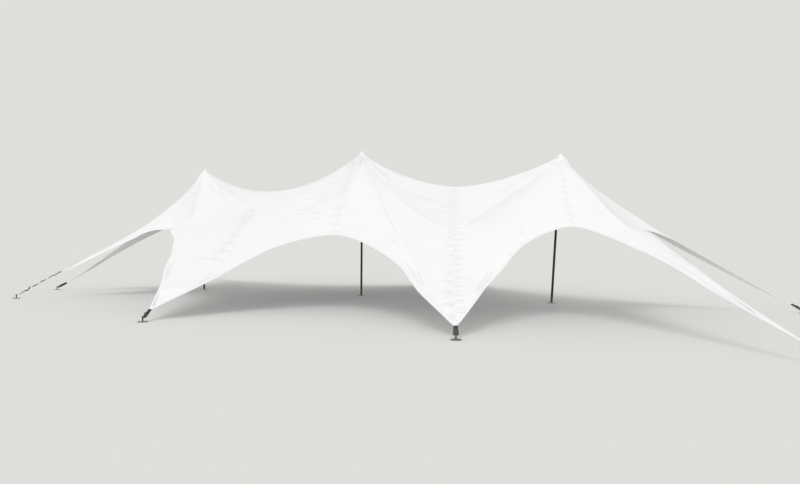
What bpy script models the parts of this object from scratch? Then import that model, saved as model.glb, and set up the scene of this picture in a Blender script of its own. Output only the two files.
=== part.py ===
"""Three-mast stretch tent: a white elastic canopy over three poles in a row, pulled down to eight
ground anchors, with a scalloped edge between each pair of anchors.

Metres, +Z up, ground at Z = 0. The origin is under the middle mast, the masts stand along X, and the
front of the tent faces -Y. The canopy is a tensioned membrane, so its form is worked out by the
force-density method from the mast tops, the anchors and how hard each edge and seam is pulled.
"""
import math

import bmesh
import bpy
import numpy as np
from mathutils import Matrix, Vector

# Driving dimensions in metres
MAST_SPACING = 7.2
MAST_HEIGHTS = {"left": 5.06, "middle": 5.44, "right": 4.97}
MASTS = {
    name: Vector((place * MAST_SPACING, 0.0, MAST_HEIGHTS[name]))
    for name, place in (("left", -1), ("middle", 0), ("right", 1))
}
MAST_LEANS = {"left": 0.0, "middle": 0.0, "right": 0.28}  # how far the foot is to the left of the top
# Each arm of the canopy: the point that its fabric runs out to, and how far beyond it the ground
# post stands. The rigging is free: it isn't the same at both ends.
ANCHORS = {
    "front_left_corner": ((-9.40, -4.95, 0.85), 1.25),
    "front_left_bay": ((-1.70, -8.75, 0.23), 0.22),
    "front_right_bay": ((5.95, -8.50, 0.21), 0.16),
    "front_right_corner": ((12.05, -9.20, 0.21), 0.25),
    "back_right_corner": ((13.70, -0.25, 0.22), 0.25),
    "back_right_bay": ((2.25, 9.10, 0.24), 0.25),
    "back_left_bay": ((-12.10, 6.35, 0.24), 0.25),
    "back_left_corner": ((-12.15, -2.45, 0.24), 0.31),
}

# Each scalloped edge: the anchors it joins, and its webbing's pull against the fabric's own
EDGES = {
    "front_left_arch": ("front_left_corner", "front_left_bay", 0.50),
    "front_middle_arch": ("front_left_bay", "front_right_bay", 0.82),
    "front_right_arch": ("front_right_bay", "front_right_corner", 0.52),
    "right_end_arch": ("front_right_corner", "back_right_corner", 0.18),
    "back_right_arch": ("back_right_bay", "back_right_corner", 0.17),
    "back_middle_arch": ("back_left_bay", "back_right_bay", 0.93),
    "back_left_arch": ("back_left_corner", "back_left_bay", 0.55),
    "left_end_arch": ("front_left_corner", "back_left_corner", 0.29),
}
# The pull of the tape in the seams: from a mast to an edge, and along the ridges and the arms
SEAMS = {
    ("left", "front_left_arch"): 0.70,
    ("middle", "front_middle_arch"): 0.70,
    ("right", "front_right_arch"): 0.70,
    ("left", "left_end_arch"): 0.12,
    ("right", "right_end_arch"): 0.12,
    ("left", "back_left_arch"): 1.68,
    ("left", "back_middle_arch"): 1.68,
    ("middle", "back_middle_arch"): 1.68,
    ("right", "back_right_arch"): 1.68,
    ("left", "left_saddle"): 0.25,
    ("middle", "left_saddle"): 0.25,
    ("middle", "right_saddle"): 2.14,
    ("right", "right_saddle"): 2.14,
    ("left_saddle", "front_left_bay"): 0.26,
    ("right_saddle", "front_right_bay"): 0.26,
    ("right_saddle", "back_right_bay"): 0.26,
}
SADDLES = ("left_saddle", "right_saddle")
# The pull of the tape along a panel's diagonal, from its mast to its anchor
DIAGONALS = {"panel_right_end_front": 0.05, "panel_right_end_back": 0.40}

# Each panel's four corners in order round it. The anchor, where it has one, is the third.
PANELS = {
    "panel_left_end_front": ("left", "front_left_arch", "front_left_corner", "left_end_arch"),
    "panel_left_front": ("left", "front_left_arch", "front_left_bay", "left_saddle"),
    "panel_middle_front_left": ("middle", "front_middle_arch", "front_left_bay", "left_saddle"),
    "panel_middle_front_right": ("middle", "front_middle_arch", "front_right_bay", "right_saddle"),
    "panel_right_front": ("right", "front_right_arch", "front_right_bay", "right_saddle"),
    "panel_right_end_front": ("right", "front_right_arch", "front_right_corner", "right_end_arch"),
    "panel_left_end_back": ("left", "back_left_arch", "back_left_corner", "left_end_arch"),
    "panel_left_back": ("left", "back_left_arch", "back_left_bay", "back_middle_arch"),
    "panel_middle_back_left": ("left", "back_middle_arch", "middle", "left_saddle"),
    "panel_middle_back_right": ("middle", "back_middle_arch", "back_right_bay", "right_saddle"),
    "panel_right_back": ("right", "back_right_arch", "back_right_bay", "right_saddle"),
    "panel_right_end_back": ("right", "back_right_arch", "back_right_corner", "right_end_arch"),
}
CELLS = 10  # cells along each side of a panel

GAP = 0.0003  # between pieces that touch
FABRIC_THICKNESS = 0.015
TIP_CUT = 0.07  # the fabric is cut off this far before its arm's point

TUBE_RADIUS = 0.038
TUBE_WALL = 0.003
FOOT_RADIUS = 0.15
FOOT_THICKNESS = 0.012
FOOT_SPIGOT_RADIUS = 0.027  # loose in the tube, so that the mast can lean
FOOT_SPIGOT_HEIGHT = 0.08
HEAD_SPIGOT_LENGTH = 0.15
HEAD_RADIUS = 0.06
HEAD_LENGTH = 0.30  # from the tip of the cap to the top of the tube
CAPS = {"left": (0.09, 0.12), "middle": (0.075, 0.11), "right": (0.14, 0.14)}  # radius, height
CAP_THICKNESS = 0.008
PEAK_DROP = 0.10  # the fabric's own peak is this far under the tip of the cap

CLAMP_DEPTH = 0.03
CLAMP_MARGIN = 0.008
STRAP_WIDTH = 0.06
STRAP_THICKNESS = 0.012
STRAP_HEIGHT = 0.09  # where it loops round the post
RATCHET_LENGTH = 0.12
RATCHET_WIDTH = 0.09
RATCHET_HEIGHT = 0.05
LOOP_WIDTH = 0.016
LOOP_HEIGHT = 0.025
POST_RADIUS = 0.016
POST_HEIGHT = 0.14
POST_HEAD_RADIUS = 0.026
POST_HEAD_HEIGHT = 0.014
GROUND_PLATE_RADIUS = 0.12
GROUND_PLATE_THICKNESS = 0.010

ROUND_STEPS = 24
SMALL_ROUND_STEPS = 16
SMOOTH_ANGLE = math.radians(35)

for old in list(bpy.data.objects):
    bpy.data.objects.remove(old, do_unlink=True)

tent = bpy.data.collections.new("stretch_tent")
cutters = bpy.data.collections.new("tent_cutters")
bpy.context.scene.collection.children.link(tent)
bpy.context.scene.collection.children.link(cutters)


def paint(obj, colour, roughness, metallic=0.0):
    """Give an object its own Principled material."""
    material = bpy.data.materials.new(obj.name + "_finish")
    material.use_nodes = True
    shader = material.node_tree.nodes["Principled BSDF"]
    shader.inputs["Base Color"].default_value = (*colour, 1.0)
    shader.inputs["Roughness"].default_value = roughness
    shader.inputs["Metallic"].default_value = metallic
    obj.data.materials.append(material)
    return obj


def mesh_object(name, mesh, collection=tent):
    obj = bpy.data.objects.new(name, mesh)
    collection.objects.link(obj)
    return obj


def turned(name, profile, frame, steps, collection=tent):
    """Turn a profile of (radius, height) points, listed from the top down its outer side."""
    mesh = bpy.data.meshes.new(name)
    points = [(radius, 0.0, height) for radius, height in profile]
    mesh.from_pydata(points, [(k, k + 1) for k in range(len(points) - 1)], [])
    obj = mesh_object(name, mesh, collection)
    obj.matrix_world = frame
    screw = obj.modifiers.new("turn", "SCREW")
    screw.steps = screw.render_steps = steps
    screw.use_merge_vertices = True
    screw.merge_threshold = 0.0001
    weld = obj.modifiers.new("close_axis", "WELD")
    weld.merge_threshold = 0.0001
    return obj


def smooth(obj):
    """Shade a round piece smooth, with its corners kept sharp."""
    obj.data.shade_smooth()
    obj.data.set_sharp_from_angle(angle=SMOOTH_ANGLE)
    return obj


# The canopy's net. A point is known by its name, or by the two names of the line that it lies on.


def side_point(start, end, k):
    """The key of point k of CELLS on the line from one named point to another."""
    if k == 0:
        return start
    if k == CELLS:
        return end
    return (start, end, k) if start < end else (end, start, CELLS - k)


def panel_keys(name):
    """The key of each point of a panel's net, by its row and its place in the row."""
    first, second, third, fourth = PANELS[name]
    keys = {(i, j): (name, i, j) for i in range(1, CELLS) for j in range(1, CELLS)}
    for k in range(CELLS + 1):
        keys[k, 0] = side_point(first, second, k)
        keys[k, CELLS] = side_point(fourth, third, k)
        keys[0, k] = side_point(first, fourth, k)
        keys[CELLS, k] = side_point(second, third, k)
    return keys


def panel_sides(name):
    """Each side of a panel: its two ends, its points, and the step from them to the inside."""
    first, second, third, fourth = PANELS[name]
    count = range(CELLS + 1)
    return (
        (first, second, [(k, 0) for k in count], (0, 1)),
        (fourth, third, [(k, CELLS) for k in count], (0, -1)),
        (first, fourth, [(0, k) for k in count], (1, 0)),
        (second, third, [(CELLS, k) for k in count], (-1, 0)),
    )


def is_free_edge(start, end):
    return any(name in EDGES and other in EDGES[name][:2] for name, other in ((start, end), (end, start)))


def line_pull(start, end):
    """The extra pull of the webbing or tape along one side of a panel."""
    for name, other in ((start, end), (end, start)):
        if name in EDGES and other in EDGES[name][:2]:
            return EDGES[name][2]
        if (name, other) in SEAMS:
            return SEAMS[name, other]
    return 0.0


def canopy_form():
    """Solve the net's balance of forces, and return each point's place by its key."""
    index, bars, lines = {}, {}, {}
    for name in PANELS:
        keys = panel_keys(name)
        for cell, key in sorted(keys.items()):
            index.setdefault(key, len(index))
            for step in ((1, 0), (0, 1)):
                beyond = (cell[0] + step[0], cell[1] + step[1])
                if beyond in keys:
                    on_side = cell[0] in (0, CELLS) if step[1] else cell[1] in (0, CELLS)
                    bar = frozenset((key, keys[beyond]))
                    bars[bar] = bars.get(bar, 0.0) + (0.5 if on_side else 1.0)
        for start, end, cells, step in panel_sides(name):
            lines[frozenset((start, end))] = (start, end)
    for start, end in lines.values():
        for k in range(CELLS):
            bar = frozenset((side_point(start, end, k), side_point(start, end, k + 1)))
            bars[bar] += line_pull(start, end) * CELLS
    for name, pull in DIAGONALS.items():
        keys = panel_keys(name)
        for k in range(CELLS):
            bars[frozenset((keys[k, k], keys[k + 1, k + 1]))] = pull * CELLS
    stiffness = np.zeros((len(index), len(index)))
    for bar, density in bars.items():
        a, b = sorted(index[key] for key in bar)
        stiffness[[a, b], [a, b]] += density
        stiffness[[a, b], [b, a]] -= density
    held = {name: (top.x, top.y, top.z - PEAK_DROP) for name, top in MASTS.items()}
    held.update({name: tip for name, (tip, reach) in ANCHORS.items()})
    fixed = [index[name] for name in held]
    free = sorted(set(range(len(index))) - set(fixed))
    places = np.zeros((len(index), 3))
    places[fixed] = list(held.values())
    loads = -stiffness[np.ix_(free, fixed)] @ places[fixed]
    places[free] = np.linalg.solve(stiffness[np.ix_(free, free)], loads)
    return {key: Vector(places[n]) for key, n in index.items()}


def arm_inward(anchor, form):
    """The level direction from an anchor up the middle of its arm of fabric."""
    name = next(name for name, corners in PANELS.items() if corners[2] == anchor)
    column = CELLS if PANELS[name][3] in SADDLES else CELLS - 1
    inward = form[panel_keys(name)[CELLS - 1, column]] - form[anchor]
    return Vector((inward.x, inward.y, 0.0)).normalized()


def panel_points(name, form):
    """A panel's points, with those on its seams moved half a gap towards its middle."""
    keys = panel_keys(name)
    points = {cell: form[key].copy() for cell, key in keys.items()}
    for start, end, cells, step in panel_sides(name):
        if is_free_edge(start, end):
            continue
        for n, cell in enumerate(cells):
            along = form[keys[cells[min(n + 1, CELLS)]]] - form[keys[cells[max(n - 1, 0)]]]
            across = Vector((-along.y, along.x, 0.0)).normalized()
            inside = form[keys[cell[0] + step[0], cell[1] + step[1]]] - form[keys[cell]]
            points[cell] += across * math.copysign(GAP / 2, across.dot(inside))
    return points


def panel_solid(name, form, arms, heads):
    """One panel of fabric, cut off at its anchor's clamp and round the heads of its masts."""
    bm = bmesh.new()
    verts = {cell: bm.verts.new(point) for cell, point in panel_points(name, form).items()}
    for i in range(CELLS):
        for j in range(CELLS):
            a, b = verts[i, j], verts[i + 1, j]
            c, d = verts[i + 1, j + 1], verts[i, j + 1]
            bm.faces.new((a, b, c))
            bm.faces.new((a, c, d))
    anchor = PANELS[name][2]
    if anchor in ANCHORS:
        inward = arms[anchor]
        bmesh.ops.bisect_plane(
            bm, geom=bm.verts[:] + bm.edges[:] + bm.faces[:],
            plane_co=form[anchor] + inward * TIP_CUT, plane_no=-inward, clear_outer=True)
        bmesh.ops.triangulate(bm, faces=bm.faces[:])
    bm.normal_update()
    if sum(face.normal.z for face in bm.faces) < 0:
        bmesh.ops.reverse_faces(bm, faces=bm.faces[:])
    under = bmesh.ops.extrude_face_region(bm, geom=bm.faces[:], use_keep_orig=True)
    moved = [item for item in under["geom"] if isinstance(item, bmesh.types.BMVert)]
    bmesh.ops.translate(bm, verts=moved, vec=(0.0, 0.0, -FABRIC_THICKNESS))
    bmesh.ops.recalc_face_normals(bm, faces=bm.faces[:])
    mesh = bpy.data.meshes.new(name)
    bm.to_mesh(mesh)
    bm.free()
    obj = mesh_object(name, mesh)
    for corner in PANELS[name]:
        if corner in heads:
            combine(obj, heads[corner], "DIFFERENCE")
    return paint(obj, (0.90, 0.90, 0.89), 0.75)


def mast_frame(name):
    """A frame at a mast's foot with +Z up the mast, and the mast's length and its lean as an angle."""
    top, lean = MASTS[name], MAST_LEANS[name]
    angle = math.atan2(lean, top.z)
    frame = Matrix.Translation((top.x - lean, top.y, 0.0)) @ Matrix.Rotation(angle, 4, "Y")
    return frame, math.hypot(lean, top.z), angle


def head_cutter(name):
    """The round hole in the fabric for a mast's head."""
    frame, length, angle = mast_frame(name)
    radius = HEAD_RADIUS + GAP
    return turned(f"hole_{name}", (
        (0.0, length + HEAD_LENGTH),
        (radius, length + HEAD_LENGTH),
        (radius, length - 2 * HEAD_LENGTH),
        (0.0, length - 2 * HEAD_LENGTH),
    ), frame, ROUND_STEPS, cutters)


def tip_section(anchor, form, inward, panels):
    """How far the cut end of an arm reaches to each side, and its lowest and highest level."""
    across = Vector((-inward.y, inward.x, 0.0))
    sides, levels = [], []
    for obj in panels:
        for vert in obj.data.vertices:
            offset = vert.co - form[anchor]
            if abs(offset.dot(inward) - TIP_CUT) < 0.00005 and abs(offset.dot(across)) < TIP_CUT:
                sides.append(offset.dot(across))
                levels.append(vert.co.z)
    return min(sides), max(sides), min(levels), max(levels)


def facing(place, inward):
    """A frame at a place, with +X level up the arm and +Z up."""
    across = Vector((-inward.y, inward.x, 0.0))
    turn = Matrix((inward, across, Vector((0, 0, 1)))).transposed().to_4x4()
    return Matrix.Translation(place) @ turn


def block(name, low, high, frame, collection=tent, bevel=0.0):
    """A box between two corners of a frame."""
    bm = bmesh.new()
    bmesh.ops.create_cube(bm, size=1.0)
    for vert in bm.verts:
        for axis in range(3):
            vert.co[axis] = low[axis] + (vert.co[axis] + 0.5) * (high[axis] - low[axis])
    mesh = bpy.data.meshes.new(name)
    bm.to_mesh(mesh)
    bm.free()
    obj = mesh_object(name, mesh, collection)
    obj.matrix_world = frame
    if bevel:
        rounding = obj.modifiers.new("rounding", "BEVEL")
        rounding.width = bevel
        rounding.segments = 1
    return obj


def side_profile(name, outline, width, frame, collection=tent):
    """A flat outline in a frame's upright XZ plane, extruded to both sides."""
    curve = bpy.data.curves.new(name, "CURVE")
    curve.dimensions = "2D"
    curve.fill_mode = "BOTH"
    curve.extrude = width / 2
    spline = curve.splines.new("POLY")
    spline.points.add(len(outline) - 1)
    for point, (x, z) in zip(spline.points, outline):
        point.co = (x, z, 0.0, 1.0)
    spline.use_cyclic_u = True
    drawn = bpy.data.objects.new(name + "_outline", curve)
    cutters.objects.link(drawn)
    bpy.context.view_layer.update()
    evaluated = drawn.evaluated_get(bpy.context.evaluated_depsgraph_get())
    mesh = bpy.data.meshes.new_from_object(evaluated)
    bpy.data.objects.remove(drawn, do_unlink=True)
    bm = bmesh.new()
    bm.from_mesh(mesh)
    bmesh.ops.remove_doubles(bm, verts=bm.verts[:], dist=0.00001)
    bmesh.ops.recalc_face_normals(bm, faces=bm.faces[:])
    bm.to_mesh(mesh)
    bm.free()
    obj = mesh_object(name, mesh, collection)
    obj.matrix_world = frame @ Matrix.Rotation(math.radians(90), 4, "X")
    return obj


def combine(obj, other, operation):
    """Join another solid to an object, or cut it out of the object."""
    other.hide_render = True
    other.display_type = "WIRE"
    step = obj.modifiers.new(other.name, "BOOLEAN")
    step.operation = operation
    step.solver = "EXACT"
    step.object = other


def mast(name):
    """A foot plate with a spigot, a hollow tube, and a head with a rain cap in the peak."""
    frame, length, angle = mast_frame(name)
    foot = turned(f"mast_{name}_foot", (
        (0.0, FOOT_THICKNESS + FOOT_SPIGOT_HEIGHT),
        (FOOT_SPIGOT_RADIUS, FOOT_THICKNESS + FOOT_SPIGOT_HEIGHT),
        (FOOT_SPIGOT_RADIUS, FOOT_THICKNESS),
        (FOOT_RADIUS, FOOT_THICKNESS),
        (FOOT_RADIUS, 0.0),
        (0.0, 0.0),
    ), Matrix.Translation(frame.translation), ROUND_STEPS)
    paint(smooth(foot), (0.05, 0.05, 0.055), 0.5, 0.6)
    inside = TUBE_RADIUS - TUBE_WALL
    bottom = (FOOT_THICKNESS + GAP + TUBE_RADIUS * math.sin(angle)) / math.cos(angle)
    shoulder = length - HEAD_LENGTH
    tube = turned(f"mast_{name}_tube", (
        (inside, shoulder - GAP),
        (TUBE_RADIUS, shoulder - GAP),
        (TUBE_RADIUS, bottom),
        (inside, bottom),
        (inside, shoulder - GAP),
    ), frame, ROUND_STEPS)
    paint(smooth(tube), (0.03, 0.03, 0.033), 0.45, 0.3)
    cap_radius, cap_height = CAPS[name]
    rim = length - cap_height
    spigot = inside - GAP
    head = turned(f"mast_{name}_head", (
        (0.0, length),
        (cap_radius, rim),
        (cap_radius, rim - CAP_THICKNESS),
        (HEAD_RADIUS, length - cap_height * HEAD_RADIUS / cap_radius - CAP_THICKNESS),
        (HEAD_RADIUS, shoulder),
        (spigot, shoulder),
        (spigot, shoulder - HEAD_SPIGOT_LENGTH),
        (0.0, shoulder - HEAD_SPIGOT_LENGTH),
    ), frame, ROUND_STEPS)
    paint(smooth(head), (0.88, 0.88, 0.87), 0.6)


def anchorage(name, form, inward, panels):
    """The clamp on an arm's end, the tie with its ratchet, and the post it loops round."""
    reach = ANCHORS[name][1]
    base = form[name] - inward * reach
    base.z = 0.0
    frame = facing(base, inward)
    left, right, low, high = tip_section(name, form, inward, panels)
    near = reach + TIP_CUT - GAP - CLAMP_DEPTH
    clamp = block(
        f"clamp_{name}",
        (near, left - CLAMP_MARGIN, low - CLAMP_MARGIN),
        (near + CLAMP_DEPTH, right + CLAMP_MARGIN, high + CLAMP_MARGIN),
        frame, bevel=0.004)
    paint(clamp, (0.12, 0.12, 0.125), 0.55, 0.2)

    start = POST_RADIUS + GAP + LOOP_WIDTH / 2
    end = near - GAP
    slope = ((low + high) / 2 - STRAP_HEIGHT) / end
    half = STRAP_THICKNESS / 2
    strap = side_profile(f"tie_{name}", (
        (start, STRAP_HEIGHT + slope * start - half),
        (end, STRAP_HEIGHT + slope * end - half),
        (end, STRAP_HEIGHT + slope * end + half),
        (start, STRAP_HEIGHT + slope * start + half),
    ), STRAP_WIDTH, frame)
    middle = (start + end) / 2
    tilt = Matrix.Rotation(-math.atan(slope), 4, "Y")
    ratchet = block(
        f"ratchet_{name}",
        (-RATCHET_LENGTH / 2, -RATCHET_WIDTH / 2, -RATCHET_HEIGHT / 3),
        (RATCHET_LENGTH / 2, RATCHET_WIDTH / 2, RATCHET_HEIGHT * 2 / 3),
        frame @ Matrix.Translation((middle, 0.0, STRAP_HEIGHT + slope * middle)) @ tilt,
        cutters, bevel=0.012)
    inner = POST_RADIUS + GAP
    loop = turned(f"loop_{name}", (
        (inner, STRAP_HEIGHT + LOOP_HEIGHT / 2),
        (inner + LOOP_WIDTH, STRAP_HEIGHT + LOOP_HEIGHT / 2),
        (inner + LOOP_WIDTH, STRAP_HEIGHT - LOOP_HEIGHT / 2),
        (inner, STRAP_HEIGHT - LOOP_HEIGHT / 2),
        (inner, STRAP_HEIGHT + LOOP_HEIGHT / 2),
    ), Matrix.Translation(base), SMALL_ROUND_STEPS, cutters)
    combine(strap, ratchet, "UNION")
    combine(strap, loop, "UNION")
    paint(strap, (0.05, 0.05, 0.055), 0.6)

    post = turned(f"ground_anchor_{name}", (
        (0.0, POST_HEIGHT),
        (POST_HEAD_RADIUS * 0.8, POST_HEIGHT),
        (POST_HEAD_RADIUS, POST_HEIGHT - POST_HEAD_HEIGHT / 2),
        (POST_HEAD_RADIUS, POST_HEIGHT - POST_HEAD_HEIGHT),
        (POST_RADIUS, POST_HEIGHT - POST_HEAD_HEIGHT),
        (POST_RADIUS, GROUND_PLATE_THICKNESS),
        (GROUND_PLATE_RADIUS, GROUND_PLATE_THICKNESS),
        (GROUND_PLATE_RADIUS, 0.0),
        (0.0, 0.0),
    ), Matrix.Translation(base), SMALL_ROUND_STEPS)
    paint(smooth(post), (0.10, 0.10, 0.105), 0.5, 0.7)


canopy = canopy_form()
arm_directions = {name: arm_inward(name, canopy) for name in ANCHORS}
mast_heads = {name: head_cutter(name) for name in MASTS}
arm_panels = {name: [] for name in ANCHORS}
for panel_name, corners in PANELS.items():
    panel = panel_solid(panel_name, canopy, arm_directions, mast_heads)
    if corners[2] in ANCHORS:
        arm_panels[corners[2]].append(panel)
for mast_name in MASTS:
    mast(mast_name)
for anchor_name in ANCHORS:
    anchorage(anchor_name, canopy, arm_directions[anchor_name], arm_panels[anchor_name])
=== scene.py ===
"""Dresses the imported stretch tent: one elastic canopy with its seams, puckers and hems, the masts,
and the straps, ratchets and posts that hold its arms down.

Metres, +Z up. The masts stand along X, and the front of the tent faces -Y.
"""

import math
from functools import partialmethod

import bmesh
import bpy
import numpy as np
from mathutils import Matrix, Vector
from mathutils.bvhtree import BVHTree
from mathutils.geometry import delaunay_2d_cdt
from mathutils.kdtree import KDTree


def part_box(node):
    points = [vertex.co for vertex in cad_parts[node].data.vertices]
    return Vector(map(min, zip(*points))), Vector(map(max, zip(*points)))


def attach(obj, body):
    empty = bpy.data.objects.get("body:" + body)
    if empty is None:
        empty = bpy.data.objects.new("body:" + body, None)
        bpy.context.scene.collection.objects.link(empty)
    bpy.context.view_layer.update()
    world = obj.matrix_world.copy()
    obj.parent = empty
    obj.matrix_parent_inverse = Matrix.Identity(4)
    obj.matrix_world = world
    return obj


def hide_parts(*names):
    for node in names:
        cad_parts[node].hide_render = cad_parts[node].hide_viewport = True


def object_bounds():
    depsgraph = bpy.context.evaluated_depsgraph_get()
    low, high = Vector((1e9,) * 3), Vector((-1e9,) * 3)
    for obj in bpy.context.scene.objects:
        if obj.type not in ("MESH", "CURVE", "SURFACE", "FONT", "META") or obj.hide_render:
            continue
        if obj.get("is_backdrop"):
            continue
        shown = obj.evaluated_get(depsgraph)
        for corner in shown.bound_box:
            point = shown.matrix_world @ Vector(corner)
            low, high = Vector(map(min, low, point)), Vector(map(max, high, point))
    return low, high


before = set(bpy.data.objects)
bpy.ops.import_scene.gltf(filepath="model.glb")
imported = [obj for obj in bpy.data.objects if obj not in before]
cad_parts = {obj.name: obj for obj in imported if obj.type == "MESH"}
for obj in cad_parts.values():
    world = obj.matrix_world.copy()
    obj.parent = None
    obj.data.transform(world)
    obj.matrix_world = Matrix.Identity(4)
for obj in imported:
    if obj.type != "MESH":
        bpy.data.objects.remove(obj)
cad_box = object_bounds()

# The rigging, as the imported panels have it
MAST_SPACING = 7.2
MASTS = {
    "left": Vector((-MAST_SPACING, 0.0, 5.06)),
    "middle": Vector((0.0, 0.0, 5.44)),
    "right": Vector((MAST_SPACING, 0.0, 4.97)),
}
PEAK_DROP = 0.10  # how far below a mast's top the net is held
ANCHORS = {  # the point of each arm
    "front_left_corner": (-9.40, -4.95, 0.85),
    "front_left_bay": (-1.70, -8.75, 0.23),
    "front_right_bay": (5.95, -8.50, 0.21),
    "front_right_corner": (12.05, -9.20, 0.21),
    "back_right_corner": (13.70, -0.25, 0.22),
    "back_right_bay": (2.25, 9.10, 0.24),
    "back_left_bay": (-12.10, 6.35, 0.24),
    "back_left_corner": (-12.15, -2.45, 0.24),
}
EDGES = {  # the anchors that each scalloped edge joins, and its webbing's pull
    "front_left_arch": ("front_left_corner", "front_left_bay", 0.50),
    "front_middle_arch": ("front_left_bay", "front_right_bay", 0.82),
    "front_right_arch": ("front_right_bay", "front_right_corner", 0.52),
    "right_end_arch": ("front_right_corner", "back_right_corner", 0.18),
    "back_right_arch": ("back_right_bay", "back_right_corner", 0.17),
    "back_middle_arch": ("back_left_bay", "back_right_bay", 0.93),
    "back_left_arch": ("back_left_corner", "back_left_bay", 0.55),
    "left_end_arch": ("front_left_corner", "back_left_corner", 0.29),
}
SEAM_PULLS = {  # the pull of the tape in each seam
    0.70: ("left to front_left_arch", "middle to front_middle_arch", "right to front_right_arch"),
    0.12: ("left to left_end_arch", "right to right_end_arch"),
    1.68: ("left to back_left_arch", "left to back_middle_arch", "middle to back_middle_arch",
           "right to back_right_arch"),
    0.25: ("left to left_saddle", "middle to left_saddle"),
    2.14: ("middle to right_saddle", "right to right_saddle"),
    0.26: ("left_saddle to front_left_bay", "right_saddle to front_right_bay", "right_saddle to back_right_bay"),
}
SEAMS = {tuple(seam.split(" to ")): pull for pull, seams in SEAM_PULLS.items() for seam in seams}
DIAGONALS = {"panel_right_end_front": 0.05, "panel_right_end_back": 0.40}  # the pull of the cloth along these
PANELS = {  # the corners of each panel in order round it
    "panel_left_end_front": ("left", "front_left_arch", "front_left_corner", "left_end_arch"),
    "panel_left_front": ("left", "front_left_arch", "front_left_bay", "left_saddle"),
    "panel_middle_front_left": ("middle", "front_middle_arch", "front_left_bay", "left_saddle"),
    "panel_middle_front_right": ("middle", "front_middle_arch", "front_right_bay", "right_saddle"),
    "panel_right_front": ("right", "front_right_arch", "front_right_bay", "right_saddle"),
    "panel_right_end_front": ("right", "front_right_arch", "front_right_corner", "right_end_arch"),
    "panel_left_end_back": ("left", "back_left_arch", "back_left_corner", "left_end_arch"),
    "panel_left_back": ("left", "back_left_arch", "back_left_bay", "back_middle_arch"),
    "panel_middle_back_left": ("left", "back_middle_arch", "middle", "left_saddle"),
    "panel_middle_back_right": ("middle", "back_middle_arch", "back_right_bay", "right_saddle"),
    "panel_right_back": ("right", "back_right_arch", "back_right_bay", "right_saddle"),
    "panel_right_end_back": ("right", "back_right_arch", "back_right_corner", "right_end_arch"),
}
NET_CELLS = 20  # cells along each side of a panel of the net

HEAD_RADIUS = 0.06
CAPS = {"left": (0.09, 0.12), "middle": (0.075, 0.11), "right": (0.14, 0.14)}  # radius, height
CAP_THICKNESS = 0.008
UNDER_CAP = 0.002  # the gap between a cap and the cloth's neck
HEAD_GAP, TAPE_HEAD_GAP = 0.001, 0.012  # how far off a mast's head the cloth and its tapes stop
CLAMP_REACH, TAPE_REACH = 0.052, 0.062  # how far from an arm's tip the cloth and its tapes stop

PLAIN_SPACING = 0.19  # how far apart the canopy's points are on plain cloth
GROWTH = 0.75  # how fast that grows away from the lines that want fine cloth

rng = np.random.default_rng(11)


def ease(x):
    x = np.clip(x, 0.0, 1.0)
    return x * x * (3 - 2 * x)


def sizes(rows):
    return np.linalg.norm(rows, axis=1)


def unit(rows):
    return rows / sizes(rows)[:, None]


def both_ends(along, length, reach):
    """A share that grows from nothing at each end of a line, within a reach of it."""
    return ease(along / reach) * ease((length - along) / reach)


def lengths(path):
    """How far along a path each of its points is."""
    return np.concatenate(([0.0], np.cumsum(sizes(np.diff(path, axis=0)))))


def at_lengths(at, along, path):
    """Places at some lengths along a path."""
    return np.stack([np.interp(at, along, column) for column in path.T], axis=1)


def smoothed(line, passes):
    """Draw a line's inner points towards their neighbours, in place."""
    for _ in range(passes):
        line[1:-1] = (line[:-2] + 2 * line[1:-1] + line[2:]) / 4
    return line


# The canopy's form


def side_point(start, end, k):
    """The key of the k-th point along the side of a panel."""
    if k == 0:
        return start
    if k == NET_CELLS:
        return end
    return (start, end, k) if start < end else (end, start, NET_CELLS - k)


def panel_keys(name):
    """The key of each point of a panel's net, by its row and its place in the row."""
    first, second, third, fourth = PANELS[name]
    inner = range(1, NET_CELLS)
    keys = {(i, j): (name, i, j) for i in inner for j in inner}
    for k in range(NET_CELLS + 1):
        keys[k, 0] = side_point(first, second, k)
        keys[k, NET_CELLS] = side_point(fourth, third, k)
        keys[0, k] = side_point(first, fourth, k)
        keys[NET_CELLS, k] = side_point(second, third, k)
    return keys


def panel_lines(name):
    first, second, third, fourth = PANELS[name]
    return (first, second), (fourth, third), (first, fourth), (second, third)


def edge_of(start, end):
    """The scalloped edge that a line between two named points is half of, if it is one."""
    for name, other in ((start, end), (end, start)):
        if name in EDGES and other in EDGES[name][:2]:
            return name
    return None


def line_pull(start, end):
    if edge_of(start, end):
        return EDGES[edge_of(start, end)][2]
    return SEAMS.get((start, end), SEAMS.get((end, start), 0.0))


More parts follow.
